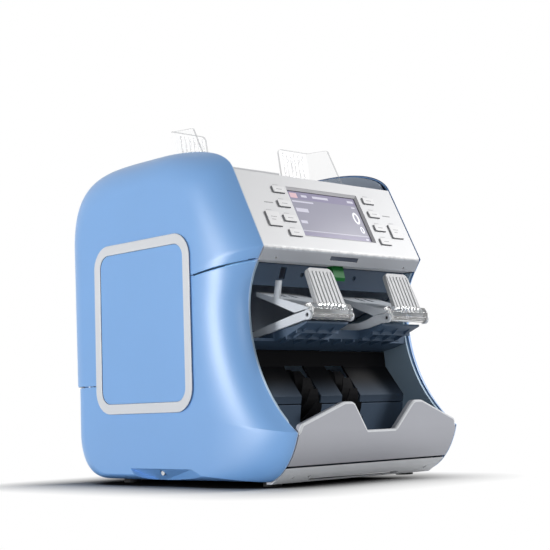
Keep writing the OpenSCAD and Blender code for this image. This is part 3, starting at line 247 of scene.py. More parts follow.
def upper_outlines(m):
    """The same for an upper cover."""
    start = V(LIP.x - HALF_GAP / math.tan(LIP_ANGLE), LIP.y + HALF_GAP)
    end = V(REAR_UP, SEAM + HALF_GAP)
    fold, crest = FOLD + RIM_PROUD * OUT, PANEL_TOP + RIM_PROUD * OUT
    edge = seg(start, fold, 2 * m)
    edge += seg(fold, crest, 6 * m)
    edge += bez(crest, crest + V(9.5, 20), V(CROWN - 55, TOP), V(CROWN, TOP), 10 * m)
    edge += bez(V(CROWN, TOP), V(DEPTH - 51, TOP), V(DEPTH, TOP + 5), V(DEPTH, SHOULDER), 14 * m)
    edge += seg(V(DEPTH, SHOULDER), end, 4 * m)
    edge.append(end)
    brow = V(FLAT_FRONT + 12, FLAT_SEAM + 76)
    rise = V(FLAT_FRONT, FLAT_SEAM + 8)
    flat = seg(V(FLAT_FRONT, FLAT_SEAM + HALF_GAP), rise, 2 * m)
    flat += bez(rise, V(FLAT_FRONT, FLAT_SEAM + 31), V(FLAT_FRONT + 2, FLAT_SEAM + 58), brow, 6 * m)
    flat += bez(brow, brow + V(8, 14), V(CROWN - 30, FLAT_TOP), V(CROWN, FLAT_TOP), 10 * m)
    flat += bez(V(CROWN, FLAT_TOP), V(FLAT_REAR - 47, FLAT_TOP), V(FLAT_REAR + 2, FLAT_TOP - 3),
                V(FLAT_REAR + 2, SHOULDER - 5), 14 * m)
    flat += seg(V(FLAT_REAR + 2, SHOULDER - 5), V(FLAT_REAR, SEAM + HALF_GAP), 4 * m)
    flat.append(V(FLAT_REAR, SEAM + HALF_GAP))
    return edge, flat, [p + V(0, HALF_GAP) for p in reversed(SEAM_LINE)], V(215, FLAT_SEAM + 11)


# Meshes


def add_piece(name, bm, body, materials, replaced=(), sharp=35.0):
    mesh = bpy.data.meshes.new(name)
    bmesh.ops.recalc_face_normals(bm, faces=bm.faces)
    bm.to_mesh(mesh)
    bm.free()
    obj = bpy.data.objects.new(name, mesh)
    bpy.context.scene.collection.objects.link(obj)
    for material in materials if isinstance(materials, (list, tuple)) else [materials]:
        mesh.materials.append(material)
    even_light(obj, sharp)
    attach(obj, body)
    if replaced:
        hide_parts(*replaced)
    return obj


def even_light(obj, sharp=35.0):
    """Smooth shading that keeps broad faces flat and edges over the sharp angle crisp."""
    obj.data.shade_smooth()
    obj.data.set_sharp_from_angle(angle=math.radians(sharp))
    obj.modifiers.new("even_light", "WEIGHTED_NORMAL").keep_sharp = True


def bmesh_of(node, whole=True):
    """The node's solid as a clean mesh, with whole flat faces or in triangles."""
    bm = bmesh.new()
    bm.from_mesh(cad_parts[node].data)
    bmesh.ops.remove_doubles(bm, verts=bm.verts, dist=2e-6)
    if whole:
        bmesh.ops.dissolve_limit(bm, angle_limit=math.radians(0.5), verts=bm.verts, edges=bm.edges)
    for face in bm.faces:
        face.material_index = 0
    return bm


def bevel(bm, edges, width, segments, clamp=True):
    """Bevels the edges and marks the new faces, which the finish lightens for scuffing and, where its edge
    amount is high, as a painted highlight.
    """
    rubbed = bm.faces.layers.float.get("rubbed") or bm.faces.layers.float.new("rubbed")
    made = bmesh.ops.bevel(bm, geom=edges, offset=width, offset_type="OFFSET", segments=segments, profile=0.5,
                           affect="EDGES", clamp_overlap=clamp, miter_outer="ARC", loop_slide=False)
    for face in made["faces"]:
        face[rubbed] = 1.0


def round_edges(bm, width, segments=2, angle=28.0, only=None, clamp=True):
    """Rounds the edges that turn by more than the angle."""
    edges = []
    for e in bm.edges:
        turns = len(e.link_faces) == 2 and e.calc_face_angle(0.0) > math.radians(angle)
        if turns and (only is None or only(e)):
            edges.append(e)
    if edges:
        bevel(bm, edges, width, segments, clamp)


def rounded_copy(node, name, body, material, width, segments=2, angle=28.0, only=None):
    bm = bmesh_of(node, whole=False)
    round_edges(bm, width, segments, angle, only)
    return add_piece(name, bm, body, material, [node])


def box_into(bm, lo, hi, index=0, matrix=None):
    made = bmesh.ops.create_cube(bm, size=1.0)["verts"]
    for v in made:
        v.co = Vector((lo[i] + (v.co[i] + 0.5) * (hi[i] - lo[i]) for i in range(3)))
        if matrix:
            v.co = matrix @ v.co
    for f in {f for v in made for f in v.link_faces}:
        f.material_index = index
    return made


def slope_matrix(origin, along, out):
    """Frame on a sloped face in metres: x sideways, y along the slope, z outward."""
    at = place(0, origin)
    return Matrix(((1, 0, 0, at.x), (0, along.x, out.x, at.y), (0, along.y, out.y, at.z), (0, 0, 0, 1)))


def panel_matrix():
    return slope_matrix(FOLD, UP, OUT)


def lip_matrix():
    return slope_matrix(FOLD, (LIP - FOLD).normalized(), V(-math.sin(LIP_ANGLE), -math.cos(LIP_ANGLE)))


def panel_box(node):
    """Lowest and highest corner of a node in the control panel's frame."""
    back = panel_matrix().inverted()
    points = [back @ v.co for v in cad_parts[node].data.vertices]
    return tuple(Vector([pick(p[i] for p in points) for i in range(3)]) for pick in (min, max))


def hull_of(points):
    bm = bmesh.new()
    for p in points:
        bm.verts.new(p)
    bmesh.ops.convex_hull(bm, input=bm.verts)
    bmesh.ops.recalc_face_normals(bm, faces=bm.faces)
    return bm


CARVED_SHARP = 12.0  # degrees; a carved cover keeps edges over this crisp


def carve(obj, steps):
    """Adds or takes away solids: steps holds pairs of a boolean operation and a mesh."""
    helpers = []
    obj.modifiers.clear()
    for operation, bm in steps:
        mesh = bpy.data.meshes.new("helper")
        bm.to_mesh(mesh)
        bm.free()
        helper = bpy.data.objects.new("helper", mesh)
        bpy.context.scene.collection.objects.link(helper)
        helpers.append(helper)
        mod = obj.modifiers.new("carve", "BOOLEAN")
        mod.operation = operation
        mod.solver = "EXACT"
        mod.object = helper
    bpy.context.view_layer.update()
    carved = bpy.data.meshes.new_from_object(obj.evaluated_get(bpy.context.evaluated_depsgraph_get()))
    obj.modifiers.clear()
    old, obj.data = obj.data, carved
    bpy.data.meshes.remove(old)
    for helper in helpers:
        mesh = helper.data
        bpy.data.objects.remove(helper)
        bpy.data.meshes.remove(mesh)
    even_light(obj, CARVED_SHARP)


# Shared finishes


def new_group(name, inputs, outputs):
    tree = bpy.data.node_groups.new(name, "ShaderNodeTree")
    for label, kind, value in inputs:
        socket = tree.interface.new_socket(label, in_out="INPUT", socket_type=kind)
        socket.default_value = value
    for label, kind in outputs:
        tree.interface.new_socket(label, in_out="OUTPUT", socket_type=kind)
    return tree, tree.nodes.new("NodeGroupInput"), tree.nodes.new("NodeGroupOutput")


def add_node(tree, kind, inputs=None, **settings):
    node = tree.nodes.new(kind)
    for key, value in settings.items():
        setattr(node, key, value)
    for key, value in (inputs or {}).items():
        if isinstance(value, bpy.types.NodeSocket):
            tree.links.new(value, node.inputs[key])
        else:
            node.inputs[key].default_value = value
    return node


def math_node(tree, operation, a, b=0.0, clamp=False):
    return add_node(tree, "ShaderNodeMath", {0: a, 1: b}, operation=operation, use_clamp=clamp).outputs[0]


def mix_colour(tree, factor, a, b, blend="MIX"):
    node = add_node(tree, "ShaderNodeMix", data_type="RGBA", blend_type=blend)
    for key, value in ((0, factor), (6, a), (7, b)):
        if isinstance(value, bpy.types.NodeSocket):
            tree.links.new(value, node.inputs[key])
        else:
            node.inputs[key].default_value = value
    return node.outputs[2]


def ramp(tree, value, low, high):
    limits = {"Value": value, "From Min": low, "From Max": high}
    return add_node(tree, "ShaderNodeMapRange", limits).outputs[0]


def eye_rays(tree):
    """1 for rays that come from the camera, straight or by a mirror or through glass."""
    rays = add_node(tree, "ShaderNodeLightPath").outputs
    bent = math_node(tree, "MAXIMUM", rays["Is Glossy Ray"], rays["Is Transmission Ray"])
    return math_node(tree, "MAXIMUM", rays["Is Camera Ray"], bent)


FLOAT, COLOUR = "NodeSocketFloat", "NodeSocketColor"


def grain_group():
    """Fine moulded grain with slow drifts of tone and gloss."""
    if "moulded_grain" in bpy.data.node_groups:
        return bpy.data.node_groups["moulded_grain"]
    tree, inp, out = new_group(
        "moulded_grain",
        [("Colour", COLOUR, (0.5, 0.5, 0.5, 1)), ("Grain Size", FLOAT, 900.0), ("Tone Drift", FLOAT, 0.06),
         ("Roughness", FLOAT, 0.5), ("Gloss Drift", FLOAT, 0.08)],
        [("Colour", COLOUR), ("Roughness", FLOAT), ("Height", FLOAT)])
    where = add_node(tree, "ShaderNodeTexCoord").outputs["Object"]
    fine = add_node(tree, "ShaderNodeTexNoise", {"Vector": where, "Scale": inp.outputs["Grain Size"],
                                                 "Detail": 3.0, "Roughness": 0.6}).outputs[0]
    slow = add_node(tree, "ShaderNodeTexNoise", {"Vector": where, "Scale": 14.0, "Detail": 4.0}).outputs[0]
    both = math_node(tree, "ADD", math_node(tree, "MULTIPLY", fine, 0.5),
                     math_node(tree, "MULTIPLY", slow, 0.5))
    drift = math_node(tree, "MULTIPLY", math_node(tree, "SUBTRACT", both, 0.5), inp.outputs["Tone Drift"])
    value = math_node(tree, "ADD", math_node(tree, "MULTIPLY", drift, 4.0), 1.0)
    tone = add_node(tree, "ShaderNodeHueSaturation", {"Color": inp.outputs["Colour"], "Value": value})
    gloss = math_node(tree, "MULTIPLY", math_node(tree, "SUBTRACT", slow, 0.5), inp.outputs["Gloss Drift"])
    tree.links.new(tone.outputs[0], out.inputs["Colour"])
    rough = math_node(tree, "ADD", inp.outputs["Roughness"], math_node(tree, "MULTIPLY", gloss, 2.0), True)
    tree.links.new(rough, out.inputs["Roughness"])
    tree.links.new(fine, out.inputs["Height"])
    return tree


def wear_and_highlight_group():
    """Bevelled edges lighter, broken up by noise: scuffing, and with a high amount a painted highlight."""
    if "rubbed_edges" in bpy.data.node_groups:
        return bpy.data.node_groups["rubbed_edges"]
    tree, inp, out = new_group(
        "rubbed_edges",
        [("Colour", COLOUR, (0.5, 0.5, 0.5, 1)), ("Worn Colour", COLOUR, (0.8, 0.8, 0.8, 1)),
         ("Amount", FLOAT, 0.3)],
        [("Colour", COLOUR), ("Mask", FLOAT)])
    edge = add_node(tree, "ShaderNodeAttribute", attribute_name="rubbed").outputs["Fac"]
    where = add_node(tree, "ShaderNodeTexCoord").outputs["Object"]
    patch = add_node(tree, "ShaderNodeTexNoise", {"Vector": where, "Scale": 160.0, "Detail": 4.0}).outputs[0]
    mask = math_node(tree, "MULTIPLY", edge, ramp(tree, patch, 0.38, 0.62))
    mask = math_node(tree, "MULTIPLY", mask, inp.outputs["Amount"], True)
    worn_and_lit = mix_colour(tree, mask, inp.outputs["Colour"], inp.outputs["Worn Colour"])
    tree.links.new(worn_and_lit, out.inputs["Colour"])
    tree.links.new(mask, out.inputs["Mask"])
    return tree


def dust_group():
    """Thin dust on what faces up."""
    if "settled_dust" in bpy.data.node_groups:
        return bpy.data.node_groups["settled_dust"]
    tree, inp, out = new_group(
        "settled_dust",
        [("Colour", COLOUR, (0.5, 0.5, 0.5, 1)), ("Amount", FLOAT, 0.1)],
        [("Colour", COLOUR), ("Mask", FLOAT)])
    geometry = add_node(tree, "ShaderNodeNewGeometry")
    normal = add_node(tree, "ShaderNodeSeparateXYZ", {0: geometry.outputs["Normal"]})
    where = add_node(tree, "ShaderNodeTexCoord").outputs["Object"]
    patch = add_node(tree, "ShaderNodeTexNoise", {"Vector": where, "Scale": 70.0, "Detail": 6.0}).outputs[0]
    mask = math_node(tree, "MULTIPLY", ramp(tree, normal.outputs["Z"], 0.55, 1.0),
                     ramp(tree, patch, 0.35, 0.75))
    mask = math_node(tree, "MULTIPLY", mask, inp.outputs["Amount"], True)
    tree.links.new(mix_colour(tree, mask, inp.outputs["Colour"], (0.55, 0.54, 0.52, 1)), out.inputs["Colour"])
    tree.links.new(mask, out.inputs["Mask"])
    return tree


def place_group(tree, group, inputs):
    return add_node(tree, "ShaderNodeGroup", inputs, node_tree=group)


def rgba(value, factor=1.0):
    return tuple(min(c * factor, 1.0) for c in value) + (1.0,)


def finish(name, base, rough=0.45, grain=900.0, depth=0.05, drift=0.05, gloss_drift=0.06, wear_and_highlight=0.15,
           dust=0.06, metallic=0.0, coat=0.0, coat_rough=0.15, specular=0.5):
    """A moulded or painted finish: grain, lighter bevelled edges (scuffing, and with a high amount a painted
    highlight) and settled dust over one colour.
    """
    if name in bpy.data.materials:
        return bpy.data.materials[name]
    mat = bpy.data.materials.new(name)
    mat.use_nodes = True
    tree = mat.node_tree
    shader = tree.nodes["Principled BSDF"]
    grained = place_group(tree, grain_group(), {"Colour": rgba(base), "Grain Size": grain,
                                                "Tone Drift": drift, "Roughness": rough,
                                                "Gloss Drift": gloss_drift})
    worn_and_lit = place_group(tree, wear_and_highlight_group(), {"Colour": grained.outputs["Colour"],
                                            "Worn Colour": rgba(base, 1.6), "Amount": wear_and_highlight})
    dusty = place_group(tree, dust_group(), {"Colour": worn_and_lit.outputs["Colour"], "Amount": dust})
    tree.links.new(dusty.outputs["Colour"], shader.inputs["Base Color"])
    tree.links.new(grained.outputs["Roughness"], shader.inputs["Roughness"])
    bump = add_node(tree, "ShaderNodeBump", {"Strength": depth, "Distance": 0.0002,
                                             "Height": grained.outputs["Height"]})
    tree.links.new(bump.outputs[0], shader.inputs["Normal"])
    shader.inputs["Metallic"].default_value = metallic
    shader.inputs["Coat Weight"].default_value = coat
    shader.inputs["Coat Roughness"].default_value = coat_rough
    shader.inputs["Specular IOR Level"].default_value = specular
    return mat


def blue_paint():
    # Painted highlight: the high edge amount lightens the covers' rim bevels into a lit line.
    return finish("blue_paint", colours().cover_blue, rough=0.40, grain=2600.0, depth=0.02, drift=0.03,
                  gloss_drift=0.05, wear_and_highlight=0.5, dust=0.0, coat=0.3, coat_rough=0.32, specular=0.75)


def edge_paint():
    return finish("edge_paint", colours().shade_navy, rough=0.5, grain=2600.0, depth=0.02, drift=0.05,
                  wear_and_highlight=0.0, dust=0.0, specular=0.3)


# Painted highlight on the covers' rims.
def edge_gleam():
    return finish("edge_gleam", colours().rim_highlight_blue, rough=0.4, grain=2600.0, depth=0.02, drift=0.04,
                  wear_and_highlight=0.0, dust=0.0)


def panel_paint():
    # Painted highlight: the high edge amount gives the panel's bevelled edges a bright line.
    return finish("panel_paint", colours().panel_white, rough=0.42, grain=2200.0, depth=0.03, drift=0.02,
                  wear_and_highlight=0.8, dust=0.02)


def lip_paint():
    return finish("lip_paint", colours().lip_shade_silver, rough=0.42, grain=2200.0, depth=0.03, drift=0.03,
                  wear_and_highlight=0.4, dust=0.0)


def rim_paint():
    return finish("rim_paint", colours().lit_rim_silver, rough=0.42, grain=2200.0, depth=0.03, drift=0.03,
                  wear_and_highlight=0.0, dust=0.0)


def silver_paint():
    return finish("silver_paint", colours().silver, rough=0.40, grain=2200.0, depth=0.03, drift=0.035,
                  wear_and_highlight=0.35, dust=0.03, metallic=0.1)


def white_trim():
    return finish("white_trim", colours().trim_white, rough=0.34, grain=1800.0, depth=0.02, drift=0.02,
                  wear_and_highlight=0.2)


def key_plastic():
    return finish("key_plastic", colours().key_white, rough=0.48, grain=1500.0, depth=0.05, drift=0.03,
                  wear_and_highlight=0.2)


def key_side_plastic():
    return finish("key_side_plastic", colours().key_side, rough=0.55, grain=1500.0, depth=0.05,
                  drift=0.05, wear_and_highlight=0.0, dust=0.0)


def key_flank_plastic():
    return finish("key_flank_plastic", colours().key_flank, rough=0.55, grain=1500.0, depth=0.05,
                  drift=0.05, wear_and_highlight=0.0, dust=0.0)


def mark_ink(name="mark_ink", tone=0.42):
    return finish(name, (tone * 0.96, tone * 0.97, tone), rough=0.6, drift=0.1, wear_and_highlight=0.0, dust=0.0)


def arm_plastic():
    return finish("arm_plastic", colours().arm_grey, rough=0.45, grain=1200.0, depth=0.05, drift=0.05,
                  wear_and_highlight=0.2)


def tray_plastic():
    return finish("tray_plastic", colours().tray_blue, rough=0.5, grain=1100.0, depth=0.08, drift=0.08,
                  wear_and_highlight=0.25)


def stack_plastic():
    return finish("stack_plastic", colours().stack_grey, rough=0.6, grain=1000.0, depth=0.08, drift=0.07,
                  wear_and_highlight=0.2, dust=0.0, specular=0.12)


def sooty_plastic():
    """The stacker's back plate, with painted shade that darkens it toward the throat where the notes come
    out.
    """
    if "sooty_plastic" in bpy.data.materials:
        return bpy.data.materials["sooty_plastic"]
    mat = stack_plastic().copy()
    mat.name = "sooty_plastic"
    tree = mat.node_tree
    base = tree.nodes["Principled BSDF"].inputs["Base Color"]
    clean = base.links[0].from_socket
    where = add_node(tree, "ShaderNodeTexCoord").outputs["Object"]
    height = add_node(tree, "ShaderNodeSeparateXYZ", {0: where}).outputs["Z"]
    limits = {"Value": height, "From Min": STACK_SHADE_LOW, "From Max": STACK_SHADE_HIGH}
    stack_shade = add_node(tree, "ShaderNodeMapRange", limits, interpolation_type="SMOOTHSTEP").outputs[0]
    # Painted shade: the colour blends to black between the two heights, as shade under the tray.
    tree.links.new(mix_colour(tree, stack_shade, clean, rgba(colours().black)), base)
    return mat


def frame_paint():
    return finish("frame_paint", colours().frame_grey, rough=0.55, grain=1400.0, depth=0.12, drift=0.08,
                  wear_and_highlight=0.2, metallic=0.1)


def cheek_paint():
    return finish("cheek_paint", colours().cheek_grey, rough=0.5, grain=1400.0, depth=0.1, drift=0.06,
                  wear_and_highlight=0.2)


def pin_metal():
    return finish("pin_metal", colours().pin_shade_dark, rough=0.35, grain=1600.0, depth=0.05, drift=0.1,
                  wear_and_highlight=0.2, dust=0.0, metallic=0.8)


def black_plastic():
    return finish("black_plastic", colours().black, rough=0.5, grain=1300.0, depth=0.08, drift=0.15,
                  wear_and_highlight=0.3)


def wheel_rubber():
    return finish("wheel_rubber", colours().black, rough=0.7, grain=900.0, depth=0.1, drift=0.2, wear_and_highlight=0.2,
                  dust=0.0, specular=0.12)


def black_rubber():
    return finish("black_rubber", colours().black, rough=0.75, grain=700.0, depth=0.15, drift=0.2,
                  wear_and_highlight=0.3, dust=0.15)


def green_plastic():
    return finish("green_plastic", colours().lever_green, rough=0.5, grain=1200.0, depth=0.04, drift=0.05,
                  wear_and_highlight=0.3, dust=0.0, specular=0.15)


def red_plastic():
    return finish("red_plastic", (0.30, 0.02, 0.02), rough=0.32, grain=1200.0, depth=0.03, drift=0.05,
                  wear_and_highlight=0.2)


def steel():
    return finish("steel", colours().steel, rough=0.28, grain=1600.0, depth=0.05, drift=0.06, wear_and_highlight=0.2,
                  dust=0.03, metallic=1.0)


def motor_metal():
    return finish("motor_metal", (0.42, 0.43, 0.45), rough=0.4, grain=1500.0, depth=0.05, drift=0.06,
                  metallic=0.9)


def hopper_plastic():
    return finish("hopper_plastic", colours().hopper_grey, rough=0.45, grain=1000.0, depth=0.06,
                  drift=0.05)


def pulley_plastic():
    return finish("pulley_plastic", (0.66, 0.66, 0.61), rough=0.5, grain=1000.0, depth=0.06, drift=0.05)


def board_lacquer():
    return finish("board_lacquer", colours().board_green, rough=0.3, grain=420.0, depth=0.03, drift=0.25,
                  wear_and_highlight=0.1)


def bezel_plastic():
    return finish("bezel_plastic", colours().bezel_grey, rough=0.5, grain=1600.0, depth=0.04, drift=0.04,
                  wear_and_highlight=0.1, dust=0.0)


def smoked_window():
    return finish("smoked_window", colours().smoke, rough=0.16, grain=1800.0, depth=0.01, drift=0.04,
                  wear_and_highlight=0.1, dust=0.0)


def see_through(name, tint, rough, drift, clear):
    """Clear plastic; clear is the share of light that goes through."""
    if name in bpy.data.materials:
        return bpy.data.materials[name]
    mat = bpy.data.materials.new(name)
    mat.use_nodes = True
    tree = mat.node_tree
    shader = tree.nodes["Principled BSDF"]
    grained = place_group(tree, grain_group(), {"Colour": rgba(tint), "Grain Size": 300.0,
                                                "Tone Drift": drift, "Roughness": rough,
                                                "Gloss Drift": 0.02})
    tree.links.new(grained.outputs["Colour"], shader.inputs["Base Color"])
    tree.links.new(grained.outputs["Roughness"], shader.inputs["Roughness"])
    shader.inputs["Transmission Weight"].default_value = clear
    shader.inputs["IOR"].default_value = 1.49
    return mat


def thin_clear(name, tint, opacity):
    """Thin clear sheet that hides little of what is behind it."""
    mat = finish(name, tint, rough=0.12, grain=300.0, depth=0.0, drift=0.01, wear_and_highlight=0.0, dust=0.0)
    mat.node_tree.nodes["Principled BSDF"].inputs["Alpha"].default_value = opacity
    return mat


def clear_plastic():
    return thin_clear("clear_plastic", colours().clear_tint, 0.05)


def clear_edge():
    return thin_clear("clear_edge", colours().clear_rim, 0.48)


def frosted_plastic():
    mat = see_through("frosted_plastic", colours().frosted, 0.34, 0.03, 0.06)
    shader = mat.node_tree.nodes["Principled BSDF"]
    shader.inputs["Specular IOR Level"].default_value = 0.2
    shader.inputs["Subsurface Weight"].default_value = 0.5
    shader.inputs["Subsurface Radius"].default_value = (1.0, 1.0, 1.0)
    shader.inputs["Subsurface Scale"].default_value = 3.0 * MM
    return mat


def foot_plastic():
    return see_through("foot_plastic", colours().clear_tint, 0.04, 0.02, 0.9)


def screen_light(name, tint, strength):
    """Lit part of the screen's picture, with its fine rows of dots and a slow fall of light."""
    if name in bpy.data.materials:
        return bpy.data.materials[name]
    mat = bpy.data.materials.new(name)
    mat.use_nodes = True
    tree = mat.node_tree
    shader = tree.nodes["Principled BSDF"]
    grained = place_group(tree, grain_group(), {"Colour": rgba(tint), "Grain Size": 3200.0,
                                                "Tone Drift": 0.03, "Roughness": 0.18,
                                                "Gloss Drift": 0.03})
    tree.links.new(grained.outputs["Colour"], shader.inputs["Emission Color"])
    tree.links.new(grained.outputs["Roughness"], shader.inputs["Roughness"])
    tree.links.new(mix_colour(tree, 0.9, grained.outputs["Colour"], (0.02, 0.02, 0.03, 1)),
                   shader.inputs["Base Color"])
    shader.inputs["Emission Strength"].default_value = strength
    shader.inputs["Specular IOR Level"].default_value = 0.2
    return mat


# Side covers


def cover_mesh(outlines, side_x, side):
    """Hollow side cover: a loft from the bay's edge round to the flat side, with a wall."""
    edge, flat, seam, mid = outlines
    rings = sizes().cover_rings
    starts = [rim_angle(p) for p in edge]
    n = len(edge)
    bm = bmesh.new()

    def ring(a, b, x1, k):
        verts = []
        for start, p, q in zip(starts, a, b):
            w = start + (math.pi / 2 - start) * k / rings
            x = HALF + (x1 - HALF) * (math.sin(w) - math.sin(start)) / (1 - math.sin(start))
            verts.append(bm.verts.new(place(side * x, q.lerp(p, math.cos(w) / math.cos(start)))))
        return verts

    edge_in, flat_in = beside(edge, -WALL), beside(flat, -WALL)
    out = [ring(edge, flat, side_x, k) for k in range(rings + 1)]
    ins = [ring(edge_in, flat_in, side_x - WALL, k) for k in range(rings + 1)]
    seam_out = [bm.verts.new(place(side * side_x, p)) for p in seam]
    seam_in = [bm.verts.new(place(side * (side_x - WALL), p)) for p in seam]
    for k in range(rings):
        for i in range(n - 1):
            bm.faces.new((out[k][i], out[k][i + 1], out[k + 1][i + 1], out[k + 1][i]))
            bm.faces.new((ins[k][i], ins[k + 1][i], ins[k + 1][i + 1], ins[k][i + 1]))
        for i in (0, n - 1):
            bm.faces.new((out[k][i], out[k + 1][i], ins[k + 1][i], ins[k][i]))
    for i in range(n - 1):
        bm.faces.new((out[0][i + 1], out[0][i], ins[0][i], ins[0][i + 1]))
    close_out = [out[rings][n - 1]] + seam_out + [out[rings][0]]
    close_in = [ins[rings][n - 1]] + seam_in + [ins[rings][0]]
    for j in range(len(seam) + 1):
        bm.faces.new((close_out[j + 1], close_out[j], close_in[j], close_in[j + 1]))
    for loop, x in ((out[rings] + seam_out, side_x), (ins[rings] + seam_in, side_x - WALL)):
        centre = bm.verts.new(place(side * x, mid))
        for i in range(len(loop)):
            bm.faces.new((loop[i], loop[(i + 1) % len(loop)], centre))
    bmesh.ops.recalc_face_normals(bm, faces=bm.faces)
    rim = set()
    for a, b in zip(out[0], out[0][1:]):
        rim.add(bm.edges.get((a, b)))
    for k in range(rings):
        for i in (0, n - 1):
            rim.add(bm.edges.get((out[k][i], out[k + 1][i])))
    bevel(bm, [e for e in rim if e], sizes().rim_round, 2, clamp=False)
    seam = [bm.edges.get((a, b)) for a, b in zip(close_out[1:], close_out[2:-1])]
    bevel(bm, [e for e in seam if e], sizes().small_round, 2)
    bm.normal_update()
    mark = bm.faces.layers.float.get("rubbed")
    # Painted shade and painted highlight: rim faces turned into the seam or toward the panel are navy shade,
    # other rim faces beside the bay get the pale highlight.
    for face in bm.faces:
        if face[mark] > 0.5:
            if abs(face.calc_center_median().x) > (HALF + 3) * MM:
                face.material_index = 1 if abs(face.normal.z) > EDGE_TURN else 0
            else:
                face.material_index = 1 if -side * face.normal.x > EDGE_TURN else 2
    return bm


def grip_steps(side):
    """Lining, scoop and screw hole of the hand grip on one side, as boolean steps."""
    def at(x, d, z):
        return place(side * x, V(d, z))

    def scoop_ring(depth, front, deep, back, z):
        over = FLAT_X + 2
        return [at(over, front, z), at(FLAT_X, front, z), at(FLAT_X - depth, deep, z), at(FLAT_X, back, z),
                at(over, back, z)]

    def lining_ring(depth, x, front, back, z):
        return [at(x, front, z), at(FLAT_X - depth - GRIP_WALL, GRIP_DEEP, z), at(x, back, z)]

    top = lining_ring(GRIP_T, FLAT_X - 1.2, GRIP_FRONT - 8, GRIP_BACK + 5, GRIP_TOP + GRIP_WALL)
    low = lining_ring(GRIP_UNDER, FLAT_X - 6, GRIP_FRONT - 38, GRIP_BACK - 8, GRIP_LOW)
    share = (LINING_LOW - GRIP_LOW) / (GRIP_TOP + GRIP_WALL - GRIP_LOW)
    lining = hull_of(top + [b.lerp(t, share) for t, b in zip(top, low)])
    scoop = hull_of(scoop_ring(GRIP_BROW, GRIP_FRONT, GRIP_DEEP, GRIP_BACK, GRIP_TOP)
                    + scoop_ring(GRIP_UNDER, GRIP_FRONT - 33, GRIP_DEEP - 4, GRIP_BACK - 15, GRIP_LOW))
    circle = [SCREW_HOLE * V(math.cos(math.tau * i / 24), math.sin(math.tau * i / 24)) for i in range(24)]
    hole = hull_of([place(side * x, SCREW_AT + p) for x in (SCREW_SEAT, FLAT_X) for p in circle])
    return [("UNION", lining), ("DIFFERENCE", scoop), ("DIFFERENCE", hole)]


class COUNTER_OT_side_covers(bpy.types.Operator):
    """Make the four side covers as smooth shells"""
    bl_idname = "counter.side_covers"
    bl_label = "Side Covers"

    def execute(self, context):
        m = sizes().cover_steps
        cover_looks = [blue_paint(), edge_paint(), edge_gleam()]
        for word, side in (("left", -1), ("right", 1)):
            upper = cover_mesh(upper_outlines(m), FLAT_X, side)
            add_piece("upper_shell_" + word, upper, "upper_unit", cover_looks,
                      ["upper_cover_" + word])
            lower = cover_mesh(lower_outlines(m), FLAT_X - SIDE_GAP, side)
            piece = add_piece("lower_shell_" + word, lower, "base", cover_looks,
                              ["lower_cover_" + word])
            carve(piece, grip_steps(side))
        return {"FINISHED"}


RING_TURN = 0.45  # ring faces that face sideways by less than this are painted navy, as shade in the groove round the ring


class COUNTER_OT_side_frames(bpy.types.Operator):
    """Make the framed panels on the flat sides"""
    bl_idname = "counter.side_frames"
    bl_label = "Side Frames"

    def execute(self, context):
        for word in ("left", "right"):
            bm = bmesh_of("side_trim_" + word, whole=False)
            round_edges(bm, sizes().trim_round, 4)
            bm.normal_update()
            # Painted shade: faces turned into the groove round the ring are navy.
            for face in bm.faces:
                face.material_index = 1 if abs(face.normal.x) < RING_TURN else 0
            add_piece("trim_ring_" + word, bm, "upper_unit", [white_trim(), edge_paint()],
                      ["side_trim_" + word])
            rounded_copy("side_panel_" + word, "trim_panel_" + word, "upper_unit", blue_paint(),
                         sizes().small_round, 2)
        return {"FINISHED"}


# Control panel

KEY_NODES = ["key_%s_%s" % (side, row) for side in ("left", "right") for row in ("1", "2", "3", "4", "big")]
KEY_FLANGE = 1.4 * MM  # how far a key's hidden flange stands out under the panel
KEY_TOP_TURN, KEY_FLANK_TURN = 0.3, 0.7  # faces past these are a key's top and its flanks; flanks and the other sides are painted darker as shade
BAR_START, BAR_HALF, BAR_SINK = 0.28, 0.35 * MM, 0.05 * MM  # bar printed on a key
WINDOW_X, WINDOW_V, WINDOW_W, WINDOW_H = 2.0 * MM, 16.7 * MM, 104.0 * MM, 60.0 * MM
SCREEN_THICK = 0.6 * MM
LIP_SLOT_W, LIP_SLOT_TOP, LIP_SLOT_LOW = 40.0 * MM, 4.5 * MM, 9.5 * MM


def window_corners(inset):
    """Left, low, right and upper side of the screen's window, moved in by the inset."""
    return (WINDOW_X - WINDOW_W / 2 + inset, WINDOW_V + inset, WINDOW_X + WINDOW_W / 2 - inset,
            WINDOW_V + WINDOW_H - inset)


